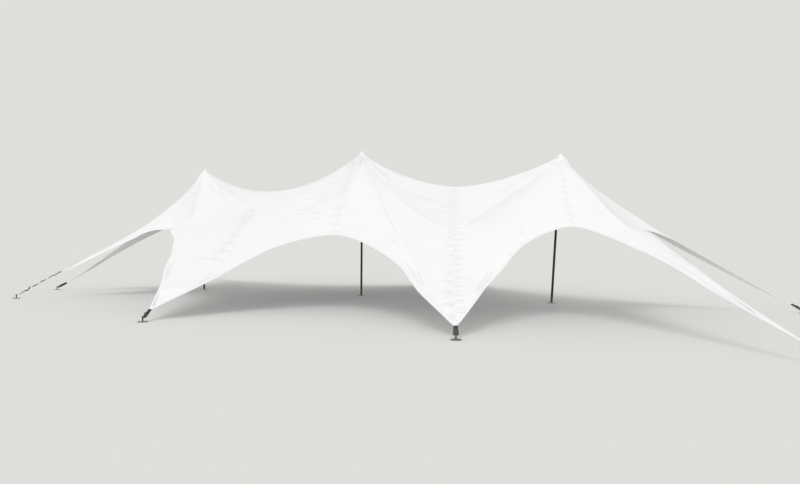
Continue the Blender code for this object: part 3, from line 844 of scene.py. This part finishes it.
def finished(name, mesh, finish, sharp):
    """A piece that rides with the tent. Edges sharper than an angle stay sharp, if one is given."""
    mesh.shade_smooth()
    if sharp:
        mesh.set_sharp_from_angle(angle=math.radians(sharp))
    obj = added(name, mesh)
    mesh.materials.append(finishes[finish])
    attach(obj, "root")
    return obj


def piece(name, parts, finish, sharp=SHEET_SHARP):
    """One piece from several lots of points, faces and, on a strip, each point's place along and across it."""
    points, faces, places = [], [], []
    for part_points, part_faces, part_places in parts:
        faces += [[len(points) + k for k in face] for face in part_faces]
        points += part_points.tolist()
        places += part_places
    mesh = bpy.data.meshes.new(name)
    mesh.from_pydata(points, [], faces)
    mesh.validate()
    if places:
        layer = mesh.uv_layers.new(name="along_across")
        corner = np.zeros(len(mesh.loops), np.int32)
        mesh.loops.foreach_get("vertex_index", corner)
        layer.data.foreach_set("uv", np.array(places, np.float32)[corner].ravel())
    return finished(name, mesh, finish, sharp)


# Finishes


class Value:
    """An output of a node, with arithmetic that adds the Math nodes it needs."""

    def __init__(self, finish, socket):
        self.finish, self.socket = finish, socket

    def maths(self, operation, *others, clamp=False):
        settings = {"operation": operation, "use_clamp": clamp}
        return self.finish.node("Math", settings, dict(enumerate((self, *others))))

    __add__ = __radd__ = partialmethod(maths, "ADD")
    __mul__ = __rmul__ = partialmethod(maths, "MULTIPLY")
    __sub__ = partialmethod(maths, "SUBTRACT")
    __truediv__ = partialmethod(maths, "DIVIDE")
    __gt__ = partialmethod(maths, "GREATER_THAN")
    __abs__ = partialmethod(maths, "ABSOLUTE")

    def __rsub__(self, other):
        return self.finish.node("Math", {"operation": "SUBTRACT"}, {0: other, 1: self})

    def wave(self, length):
        return (self * (math.tau / length)).maths("SINE")

    def limited(self):
        return self.maths("ADD", 0.0, clamp=True)


class Finish:
    """A Principled material. What varies over the surface is built with node() and expressions."""

    def __init__(self, name, **constants):
        self.material = bpy.data.materials.new(name)
        self.material.use_nodes = True
        self.tree = self.material.node_tree
        self.shader = self.tree.nodes["Principled BSDF"]
        self.set(**constants)

    def node(self, kind, settings=None, inputs=None, output=0):
        node = self.tree.nodes.new("ShaderNode" + kind)
        for name, value in (settings or {}).items():
            setattr(node, name, value)
        self.fill(node, inputs or {})
        return Value(self, node.outputs[output])

    def fill(self, node, inputs):
        for name, value in inputs.items():
            if isinstance(value, Value):
                self.tree.links.new(value.socket, node.inputs[name])
            else:
                node.inputs[name].default_value = value

    def set(self, **inputs):
        names = (name.replace("_", " ").title().replace(" Ior ", " IOR ") for name in inputs)
        self.fill(self.shader, dict(zip(names, inputs.values())))

    def place(self):
        """The place on the tent, in metres."""
        return self.node("TexCoord", output="Object")

    def parts(self, vector):
        split = self.node("SeparateXYZ", inputs={0: vector})
        return split, Value(self, split.socket.node.outputs[1]), Value(self, split.socket.node.outputs[2])

    def strip(self):
        """How far along and how far across a strip, in metres."""
        return self.parts(self.node("UVMap", {"uv_map": "along_across"}))[:2]

    def speckle(self, scale, detail=3.0, roughness=0.5, stretch=None):
        place = self.place()
        if stretch:
            place = self.node("VectorMath", {"operation": "MULTIPLY"}, {0: place, 1: stretch})
        inputs = {"Vector": place, "Scale": scale, "Detail": detail, "Roughness": roughness}
        return self.node("TexNoise", None, inputs)

    def mix(self, first, second, share):
        """One colour turned into another by a share."""
        return self.node("Mix", {"data_type": "RGBA"}, {0: share, 6: first, 7: second}, output=2)

    def bumps(self, *layers):
        """Set the Normal from heights in metres, coarsest first."""
        normal = None
        for height in layers:
            inputs = {"Height": height, "Strength": 1.0, "Distance": 1.0}
            if normal:
                inputs["Normal"] = normal
            normal = self.node("Bump", None, inputs)
        self.set(normal=normal)


def grey(level, warmth=0.0):
    return level + warmth, level, level - warmth, 1.0


def white(level):
    return level - 0.009, level - 0.0085, level + 0.0175, 1.0


SPLASHED, DUSTY_CLOTH, DUSTY_METAL = (0.74, 0.72, 0.68, 1.0), (0.33, 0.30, 0.26, 1.0), (0.36, 0.33, 0.28, 1.0)
ZINC = (0.60, 0.585, 0.55, 1.0)
THREAD, STITCH, STITCH_WIDTH = 0.0022, 0.0066, 0.0014


def canopy_finish():
    """White elastic knit, with painted shade in its folds, painted light towards its right and front, whiter where
    doubled with a painted highlight at the arms' tips, and a little greyer where it has been handled.
    """
    finish = Finish("white_stretch_knit", sheen_weight=0.15, sheen_roughness=0.5, specular_ior_level=0.3)
    painted_shade = finish.node("Attribute", {"attribute_name": "painted_shade"}, output="Fac")
    x, y, z = finish.parts(finish.place())
    mottle = finish.speckle(0.45, 4.0, 0.6)
    streaks = finish.speckle(1.6, 4.0, 0.6, (0.5, 1.0, 2.2))
    doubled_and_painted_highlight = finish.node("Attribute", {"attribute_name": "doubled_and_painted_highlight"}, output="Fac")
    colour = finish.mix(white(0.930), white(0.885), (mottle * 2.2 - 0.7).limited())
    colour = finish.mix(colour, white(0.86), ((streaks - 0.52) * 2.0).limited() * 0.3)
    # painted light: the cloth is painted whiter towards the right end and the front, where more light falls
    colour = finish.mix(colour, white(0.962), (x * 0.10 - y * 0.02).limited() * 0.5)
    # whiter doubled cloth at the tips and peaks, partly a painted highlight where the arms' tips face the light
    colour = finish.mix(colour, white(0.965), doubled_and_painted_highlight * 0.8)
    # painted shade: the cloth turns grey where its folds, lees and dents would lie in shade
    colour = finish.mix(colour, white(0.58), painted_shade * 0.72)
    splash = ((0.45 - z) * 1.6).limited() * (finish.speckle(7.0, 5.0, 0.65) * 1.8 - 0.7).limited()
    colour = finish.mix(colour, SPLASHED, splash * 0.25)
    finish.set(base_color=colour, roughness=0.62 + 0.14 * mottle)
    ribs = (x + 0.35 * y).wave(0.0042) * 0.00006 + (y - 0.35 * x + z).wave(0.0055) * 0.00005
    finish.bumps(finish.speckle(9.0, 4.0, 0.6) * 0.0016, finish.speckle(260.0, 2.0) * 0.00016, ribs)
    return finish.material


def tape_finish(name, level, rows):
    """Woven tape with rows of stitches at the given distances from its middle."""
    finish = Finish(name, sheen_weight=0.1, sheen_roughness=0.5, specular_ior_level=0.35)
    along, across = finish.strip()
    thread = along.wave(THREAD) * across.wave(THREAD)
    stitches = None
    for row in rows:
        line = (1.0 - abs(across - row) / STITCH_WIDTH).limited() * (along.wave(STITCH) > -0.35)
        stitches = line if stitches is None else stitches + line
    wear = finish.speckle(5.0, 5.0, 0.65)
    colour = finish.mix(white(level), white(level * 0.95), (wear * 1.8 - 0.5).limited())
    colour = finish.mix(colour, white(level * 0.82), stitches.limited() * 0.5)
    finish.set(base_color=colour, roughness=0.66 + 0.12 * wear)
    finish.bumps(wear * 0.0012, thread * 0.00012 - stitches * 0.0005)
    return finish.material


def webbing_finish(name, dark, light, roughness):
    """Coarse polyester webbing with a woven grain, scuffed lighter where it rubs."""
    finish = Finish(name, sheen_weight=0.25, sheen_roughness=0.4)
    along, across = finish.strip()
    thread = along.wave(0.0030) * 0.6 + (across + along * 0.5).wave(0.0036) * 0.4
    scuff = finish.speckle(38.0, 5.0, 0.7)
    dust = ((0.22 - finish.parts(finish.place())[2]) * 4.0).limited() * finish.speckle(16.0, 4.0)
    colour = finish.mix(dark, light, (scuff * 2.4 - 1.0).limited())
    colour = finish.mix(colour, DUSTY_CLOTH, dust * 0.45)
    finish.set(base_color=colour, roughness=roughness + 0.15 * scuff)
    finish.bumps(thread * 0.00025)
    return finish.material


def metal_finish(name, colour, worn, metallic, roughness, grain, dusty):
    """Coated or plated metal: fine orange peel, worn patches, and dust towards the ground."""
    finish = Finish(name)
    wear = finish.speckle(grain, 6.0, 0.7)
    worn_share = ((wear - 0.56) * 6.0).limited()
    shade = finish.mix(colour, worn, worn_share * 0.7)
    height = finish.parts(finish.place())[2]
    dust = ((0.35 - height) * 3.0).limited() * (finish.speckle(22.0, 5.0, 0.7) * 1.6 - 0.3).limited()
    shade = finish.mix(shade, DUSTY_METAL, dust * dusty)
    plate = ((0.016 - height) * 300.0).limited() * (0.55 + 0.45 * wear)
    shade = finish.mix(shade, ZINC, plate * dusty)
    rough = roughness + 0.22 * finish.speckle(grain * 2.3, 4.0) - 0.08 * worn_share + 0.2 * dust
    finish.set(base_color=shade, metallic=(metallic - 0.3 * dust * dusty).limited(), roughness=rough.limited())
    finish.bumps(wear * 0.0004, finish.speckle(420.0, 2.0) * 0.00005)
    return finish.material


def plastic_finish(name, colour, faded, roughness):
    """Moulded plastic, slightly chalky in patches, with a fine grain."""
    finish = Finish(name, coat_weight=0.08)
    fade = finish.speckle(11.0, 5.0, 0.6)
    finish.set(base_color=finish.mix(colour, faded, (fade * 1.8 - 0.5).limited()), roughness=roughness + 0.15 * fade)
    finish.bumps(finish.speckle(180.0, 3.0) * 0.00012)
    return finish.material


FLOOR_GREY = 0.765


def floor_finish():
    finish = Finish("pale_studio_floor", specular_ior_level=0.2, roughness=0.9)
    mottle = finish.speckle(0.7, 4.0, 0.6)
    finish.set(base_color=finish.mix(grey(FLOOR_GREY, 0.004), grey(FLOOR_GREY * 0.985, 0.004), mottle))
    finish.bumps(finish.speckle(60.0, 3.0) * 0.0002)
    return finish.material


finishes = {
    "canopy": canopy_finish(),
    "hem": tape_finish("white_hem", 0.93, (0.044, 0.051)),
    "tape": tape_finish("white_seam_tape", 0.92, (-0.008, 0.008)),
    "black_webbing": webbing_finish("black_webbing", grey(0.008), grey(0.035), 0.55),
    "grey_webbing": webbing_finish("grey_webbing", grey(0.085), grey(0.16), 0.6),
    "tube": metal_finish("black_powder_coat", grey(0.022), grey(0.09), 0.35, 0.38, 24.0, 0.5),
    "foot": metal_finish("dark_steel_plate", grey(0.045), grey(0.20), 0.6, 0.42, 18.0, 0.9),
    "head": plastic_finish("white_moulded_cap", white(0.92), white(0.84), 0.42),
    "clamp": metal_finish("dark_clamp", grey(0.025), grey(0.13), 0.5, 0.4, 45.0, 0.4),
    "post": metal_finish("dark_steel_post", grey(0.040), grey(0.20), 0.8, 0.4, 40.0, 0.5),
    "ratchet": metal_finish("blackened_steel", grey(0.055), grey(0.22), 0.7, 0.36, 60.0, 0.5),
    "grip": plastic_finish("black_grip", grey(0.025), grey(0.07), 0.5),
}

kept, renumbered = np.unique(cloth, return_inverse=True)
parts = [(shaped[kept], renumbered.reshape(-1, 3).tolist(), [])]
canopy = piece("canopy", parts, "canopy", sharp=None)
DOUBLED_ARM, DOUBLED_PEAK = 1.3, 0.45  # how far from a tip and from a mast's top the cloth is doubled and painted whiter, partly a painted highlight at the tips
doubled_and_painted_highlight = np.zeros(len(shaped))
places = [(tip, DOUBLED_ARM) for tip in ANCHORS.values()] + [(top, DOUBLED_PEAK) for top in MASTS.values()]
for place, reach in places:
    doubled_and_painted_highlight = np.maximum(doubled_and_painted_highlight, ease((reach - sizes(shaped - place)) / 0.25))
for name, values in (("painted_shade", painted_shade), ("doubled_and_painted_highlight", doubled_and_painted_highlight)):
    canopy.data.attributes.new(name, "FLOAT", "POINT").data.foreach_set("value", values[kept].astype(np.float32))
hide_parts(*PANELS)
sheet_normals = vertex_normals(shaped, triangles)


# Tapes and hems that follow the sheet


def arm_room(points):
    """How far each point is from the middle line of the arm it is on."""
    room = np.full(len(points), 9.0)
    for anchor in ANCHORS:
        away, _, across = on_arm(points, anchor)
        room[away < 1.5] = np.abs(across[away < 1.5])
    return room


pairs = np.concatenate([triangles[:, (0, 1)], triangles[:, (1, 2)], triangles[:, (2, 0)]])
on_lines = np.zeros(len(shaped), bool)
for pair in (*arch_lines, *SEAMS):
    on_lines[line_ids[pair]] = True
linked = {}
for a, b in pairs[on_lines[pairs].any(axis=1)]:
    linked.setdefault(a, set()).add(b)
    linked.setdefault(b, set()).add(a)


def flanks(ids):
    """The directions on the cloth to the left and the right of a line of its points."""
    ways = unit(np.gradient(shaped[ids], axis=0))
    lefts, rights, own = [], [], set(ids)
    for k, way in zip(ids, ways):
        across = np.cross(sheet_normals[k], way)
        steps = [shaped[other] - shaped[k] for other in linked[k] if other not in own]
        steps = [step - way * (step @ way) for step in steps]
        left, right = (sum(step / np.linalg.norm(step) for step in steps if (step @ across) * turn > 1e-6)
                       for turn in (1, -1))
        if np.ndim(left) == 0:  # no cloth on the left
            left = across if np.ndim(right) == 0 else -right
        lefts.append(left)
        rights.append(-left if np.ndim(right) == 0 else right)
    return [unit(smoothed(np.array(side), 4)) for side in (lefts, rights)]


def strip(middle, lines, closed=True, order=1):
    """A strip's points, faces and places, from lines of points along its corners and how far across each is."""
    along = lengths(middle)
    points = np.stack([line for line, across in lines], axis=1)
    places = np.stack([np.stack([along, across + 0 * along], axis=1) for line, across in lines], axis=1)
    count, sides = points.shape[:2]
    index = np.arange(count * sides).reshape(count, sides)
    faces = []
    for n in range(sides if closed else sides - 1):
        m = (n + 1) % sides
        first, *others = index[:-1, n], index[:-1, m], index[1:, m], index[1:, n]
        faces += np.stack([first, *others[::order]], axis=1).tolist()
    if closed:
        faces += [index[0][::-order].tolist(), index[-1][::order].tolist()]
    return points.reshape(-1, 3), faces, places.reshape(-1, 2).tolist()


def ribbon(name, ids, section, closed, finish):
    """A strip that follows a line of the sheet's points. section lists (across, height), left side positive."""
    ids = ids[~within(shaped[ids], HEAD_RADIUS + TAPE_HEAD_GAP, TAPE_REACH)]
    path, (left, right) = shaped[ids], flanks(ids)
    room = np.ones(len(ids))
    if closed:
        room = np.minimum(room, arm_room(path) / max(abs(across) for across, height in section))
    lines = []
    for across, height in section:
        flank = (left if across > 0 else right) * (abs(across) * room)[:, None]
        lines.append((path + flank + sheet_normals[ids] * height, across))
    return piece(name, [strip(path, lines, closed)], finish)


# Sections of the seams' tape and of the turned hem, from the line they follow
TAPE = ((0.016, -0.0015), (0.013, 0.0028), (0.0001, 0.0040), (-0.013, 0.0028), (-0.016, -0.0015))
HEM = ((-0.006, 0.0), (-0.003, 0.0060), (0.010, 0.0072), (0.034, 0.0068), (0.042, 0.0030), (0.050, 0.0055),
       (0.076, 0.0048), (0.082, 0.0005), (0.076, -0.0030), (0.042, -0.0035), (0.010, -0.0050), (-0.003, -0.0045))
on_canopy = [ribbon(f"seam_{start}_to_{end}", line_ids[start, end], TAPE, False, "tape") for start, end in SEAMS]
for name, (start, end, _) in EDGES.items():
    ids = np.concatenate([line_ids[start, name], line_ids[name, end][1:]])
    k = len(ids) // 4 + 1
    left = flanks(ids[k - 1:k + 2])[0][1]
    inner = [other for other in linked[ids[k]] if not on_lines[other]]
    if left @ (shaped[inner].mean(axis=0) - shaped[ids[k]]) < 0:
        ids = ids[::-1]
    on_canopy.append(ribbon(f"hem_{name}", ids, HEM, True, "hem"))


# The ties: webbing, ratchets and posts


def rounded(outline, radius):
    """A flat outline with its corners rounded."""
    points, outline = [], np.array(outline)
    for k, corner in enumerate(outline):
        before, after = outline[k - 1] - corner, outline[(k + 1) % len(outline)] - corner
        size = min(radius, np.linalg.norm(before) / 2.1, np.linalg.norm(after) / 2.1)
        before, after = (side / np.linalg.norm(side) * size for side in (before, after))
        points += [tuple(corner + before * (1 - t) ** 2 + after * t ** 2) for t in np.linspace(0, 1, 5)]
    return points


def add_plate(bm, outline, low, high, way):
    """A flat outline in XZ between two levels of Y."""
    face = bm.faces.new([bm.verts.new(way @ Vector((x, low, z))) for x, z in outline])
    grown = bmesh.ops.extrude_face_region(bm, geom=[face])
    moved = [item for item in grown["geom"] if isinstance(item, bmesh.types.BMVert)]
    bmesh.ops.translate(bm, verts=moved, vec=way.to_3x3() @ Vector((0.0, high - low, 0.0)))


def add_rod(bm, start, end, radius, way, steps=16, end_radius=None):
    """A round bar or, with an end radius, a cone."""
    start, end = Vector(start), Vector(end)
    turn = (end - start).to_track_quat("Z", "Y").to_matrix().to_4x4()
    bmesh.ops.create_cone(
        bm, cap_ends=True, segments=steps, radius1=radius, radius2=radius if end_radius is None else end_radius,
        depth=(end - start).length, matrix=way @ Matrix.Translation((start + end) / 2) @ turn)


def built(name, bm, finish):
    bmesh.ops.recalc_face_normals(bm, faces=bm.faces[:])
    mesh = bpy.data.meshes.new(name)
    bm.to_mesh(mesh)
    bm.free()
    return finished(name, mesh, finish, METAL_SHARP)


def webbing(path, width, twist):
    """Flat webbing along a path. twist gives its turn about the path at each point."""
    path = np.array(path, float)
    way = unit(np.gradient(path, axis=0))
    flat = unit(np.cross((0, 0, 1.0), way))
    half, twist = np.reshape(width, (-1, 1)) / 2, np.reshape(twist, (-1, 1))
    across = flat * np.cos(twist) + np.cross(way, flat) * np.sin(twist)
    out = np.cross(way, across) * STRAP_THICKNESS / 2
    inner = half - STRAP_THICKNESS * 0.4
    corners = ((inner, 1.0), (half, 0.4), (half, -0.4), (inner, -1.0),
               (-inner, -1.0), (-half, -0.4), (-half, 0.4), (-inner, 1.0))
    return strip(path, [(path + across * reach + out * up, reach[:, 0]) for reach, up in corners], order=-1)


def ratchet(name, way):
    """Side plates, a spindle and a cross bar, toothed discs, a pawl and a folded handle."""
    bm = bmesh.new()
    plate = rounded(((-0.060, -0.012), (0.022, -0.012), (0.030, 0.004), (0.018, 0.026), (-0.012, 0.026),
                     (-0.034, 0.006), (-0.060, 0.004)), 0.008)
    lever = rounded(((-0.020, 0.030), (0.014, -0.010), (0.030, 0.006), (0.058, 0.026), (0.086, 0.030),
                     (0.086, 0.044), (0.048, 0.046), (0.006, 0.040)), 0.008)
    pawl = rounded(((-0.030, 0.012), (-0.014, 0.022), (-0.016, 0.026), (-0.034, 0.016)), 0.002)
    disc = [(math.cos(a) * r, 0.008 + math.sin(a) * r)
            for k in range(14) for a, r in ((math.tau * k / 14, 0.024), (math.tau * (k + 0.45) / 14, 0.0195))]
    for side in (-1, 1):
        for outline, level, thick in ((plate, 0.0290, 0.0025), (disc, 0.0325, 0.0030), (lever, 0.0370, 0.0025)):
            add_plate(bm, outline, *sorted((side * level, side * (level + thick))), way)
    for x, z, half, radius in ((0, 0.008, 0.0425, 0.0085), (-0.052, -0.004, 0.0320, 0.0060)):
        add_rod(bm, (x, -half, z), (x, half, z), radius, way)
    add_plate(bm, pawl, -0.035, 0.035, way)
    built(name, bm, "ratchet")


def handle_grip(name, way):
    """The grip on a ratchet's handle, with ribs round it."""
    bm = bmesh.new()
    grip = rounded(((0.070, 0.029), (0.090, 0.031), (0.090, 0.045), (0.070, 0.046)), 0.006)
    rib = rounded(((0.069, 0.028), (0.092, 0.030), (0.092, 0.047), (0.069, 0.047)), 0.006)
    add_plate(bm, grip, -0.040, 0.040, way)
    for k in range(5):
        y = -0.028 + 0.014 * k
        add_plate(bm, rib, y - 0.003, y + 0.003, way)
    built(name, bm, "grip")


def stake_heads(name, post):
    """The washers and domed heads of the four stakes through a ground plate."""
    bm = bmesh.new()
    for k in range(4):
        angle = math.tau * (k + 0.5) / 4
        x, y = post.x + STAKE_RING * math.cos(angle), post.y + STAKE_RING * math.sin(angle)
        for low, high, radius, end_radius in ((0.0102, 0.0135, 0.0150, 0.0150), (0.0135, 0.0230, 0.0110, 0.0065)):
            add_rod(bm, (x, y, low), (x, y, high), radius, Matrix.Identity(4), 20, end_radius)
    built(name, bm, "ratchet")


# Each tie: its webbing's width at the post and at the clamp, its finish, its roll, twists, waver and sag, and where
# its ratchet sits and how large that is
TIES = {
    "front_left_corner": (0.046, 0.026, "grey_webbing", 0.0, 3.5, 0.020, -0.02, 0.28, 0.80),
    "front_left_bay": (0.080, 0.070, "black_webbing", 0.35, 0.0, 0.0, 0.02, 0.42, 1.0),
    "front_right_bay": (0.125, 0.095, "grey_webbing", 0.0, 0.0, 0.0, 0.0, 0.40, 1.2),
    "front_right_corner": (0.060, 0.055, "black_webbing", 0.0, 0.0, 0.0, 0.01, 0.45, 1.0),
    "back_right_corner": (0.065, 0.060, "grey_webbing", 1.0, 0.0, 0.0, 0.01, 0.45, 1.0),
    "back_right_bay": (0.060, 0.055, "black_webbing", 0.0, 0.0, 0.0, 0.01, 0.45, 1.0),
    "back_left_bay": (0.060, 0.055, "black_webbing", 0.0, 0.0, 0.0, 0.01, 0.45, 1.0),
    "back_left_corner": (0.090, 0.080, "black_webbing", -1.1, 0.0, 0.0, 0.0, 0.40, 1.0),
}
STRAP_THICKNESS = 0.0035
STAKE_RING = 0.085  # how far from the post the stakes are
TO_POST, TO_CLAMP = 0.020, 0.012  # how far off their middles the webbing starts and ends
LOOP_LEVEL, LOOP_RADIUS, LOOP_WIDTH = 0.09, 0.0185, 0.040  # the webbing's loop round each post
for anchor, (wide, narrow, finish, roll, twists, waver, sag, spot, size) in TIES.items():
    post, inward = middle_of(f"ground_anchor_{anchor}"), arm_inward[anchor]
    across = Vector((-inward.y, inward.x, 0.0))
    start = Vector((post.x, post.y, LOOP_LEVEL)) + inward * TO_POST
    end = middle_of(f"clamp_{anchor}") - inward * TO_CLAMP
    span = (end - start).length
    steps = max(24, int(span / 0.012))
    t = np.linspace(0, 1, steps + 1)
    fade = np.sin(math.pi * t) ** 0.7
    jag, jog = wander(0.30), wander(0.24)
    path = np.outer(1 - t, start) + np.outer(t, end) + np.outer(waver * fade * jag(t * span), across)
    path[:, 2] += waver * 0.8 * fade * jog(t * span) - sag * 4 * t * (1 - t)
    twist = roll * ease(t * 4) + twists * math.pi * ease(t / 0.9)
    turns = np.linspace(0, math.tau, 33)
    ring = [(post.x + LOOP_RADIUS * math.cos(a), post.y + LOOP_RADIUS * math.sin(a), LOOP_LEVEL) for a in turns]
    folded = path[t > 1 - min(0.45, 0.09 / span)] + (0, 0, 0.0042)
    parts = [
        webbing(path, wide + (narrow - wide) * t, twist),
        webbing(ring, np.full(len(ring), LOOP_WIDTH), np.full(len(ring), math.pi / 2)),
        webbing(folded, np.full(len(folded), narrow * 0.98), twist[-len(folded):]),
    ]
    strap = piece(f"strap_{anchor}", parts, finish)
    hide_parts(f"tie_{anchor}")
    k = int(spot * steps)
    forward = Vector(path[k + 1] - path[k - 1]).normalized()
    over = forward.cross(across).normalized()
    over = over if over.z > 0 else -over
    turn = Matrix((forward, over.cross(forward), over)).transposed().to_4x4()
    way = Matrix.Translation(Vector(path[k])) @ turn @ Matrix.Scale(size, 4)
    ratchet(f"ratchet_{anchor}", way)
    handle_grip(f"ratchet_grip_{anchor}", way)
    stake_heads(f"stake_heads_{anchor}", post)

NODE_FINISHES = {"_tube": "tube", "_foot": "foot", "_head": "head", "clamp_": "clamp", "ground_anchor_": "post"}
for node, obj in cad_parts.items():
    for part, finish in NODE_FINISHES.items():
        if part in node:
            obj.material_slots[0].material = finishes[finish]

# Camera, floor and light
EYE = (9.006, -19.791, 1.841)
YAW, PITCH, ROLL = -0.361, 0.008, 0.006
LENS, SENSOR_WIDTH, VIEW_END = 26.08, 36.0, 2000.0
FLOOR_REACH, FLOOR_LEVEL = 900.0, -0.0005
SKY_COLOUR = (0.735, 0.735, 0.710, 1.0)
SUNS = {  # the way to each, its strength, and its width in degrees
    "key": ((0.05, -0.55, 0.83), 0.72, 30),
    "front": ((0.10, -0.95, 0.28), 0.42, 40),
}
camera = added("camera", bpy.data.cameras.new("camera"))
camera.data.lens, camera.data.sensor_width, camera.data.clip_end = LENS, SENSOR_WIDTH, VIEW_END
ahead = Vector((math.sin(YAW) * math.cos(PITCH), math.cos(YAW) * math.cos(PITCH), math.sin(PITCH)))
right = Vector((math.cos(YAW), -math.sin(YAW), 0.0))
up = right.cross(ahead)
turn = Matrix((right * math.cos(ROLL) + up * math.sin(ROLL), up * math.cos(ROLL) - right * math.sin(ROLL), -ahead))
camera.matrix_world = Matrix.Translation(EYE) @ turn.transposed().to_4x4()
bpy.context.scene.camera = camera

floor = added("floor", bpy.data.meshes.new("floor"))
corners = [(FLOOR_REACH * x, FLOOR_REACH * y, FLOOR_LEVEL) for x, y in ((-1, -1), (1, -1), (1, 1), (-1, 1))]
floor.data.from_pydata(corners, [], [(0, 1, 2, 3)])
floor.data.materials.append(floor_finish())
floor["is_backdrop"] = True

world = bpy.data.worlds.new("studio")
world.use_nodes = True
sky = world.node_tree.nodes["Background"]
sky.inputs["Color"].default_value = SKY_COLOUR
sky.inputs["Strength"].default_value = 1.0
bpy.context.scene.world = world
for name, (way, energy, spread) in SUNS.items():
    sun = added(name, bpy.data.lights.new(name, "SUN"))
    sun.data.energy, sun.data.angle = energy, math.radians(spread)
    sun.rotation_mode = "QUATERNION"
    sun.rotation_quaternion = Vector(way).to_track_quat("Z", "Y")
bpy.context.scene.view_settings.view_transform = "Standard"

[[list(corner) for corner in box] for box in (cad_box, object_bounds())]
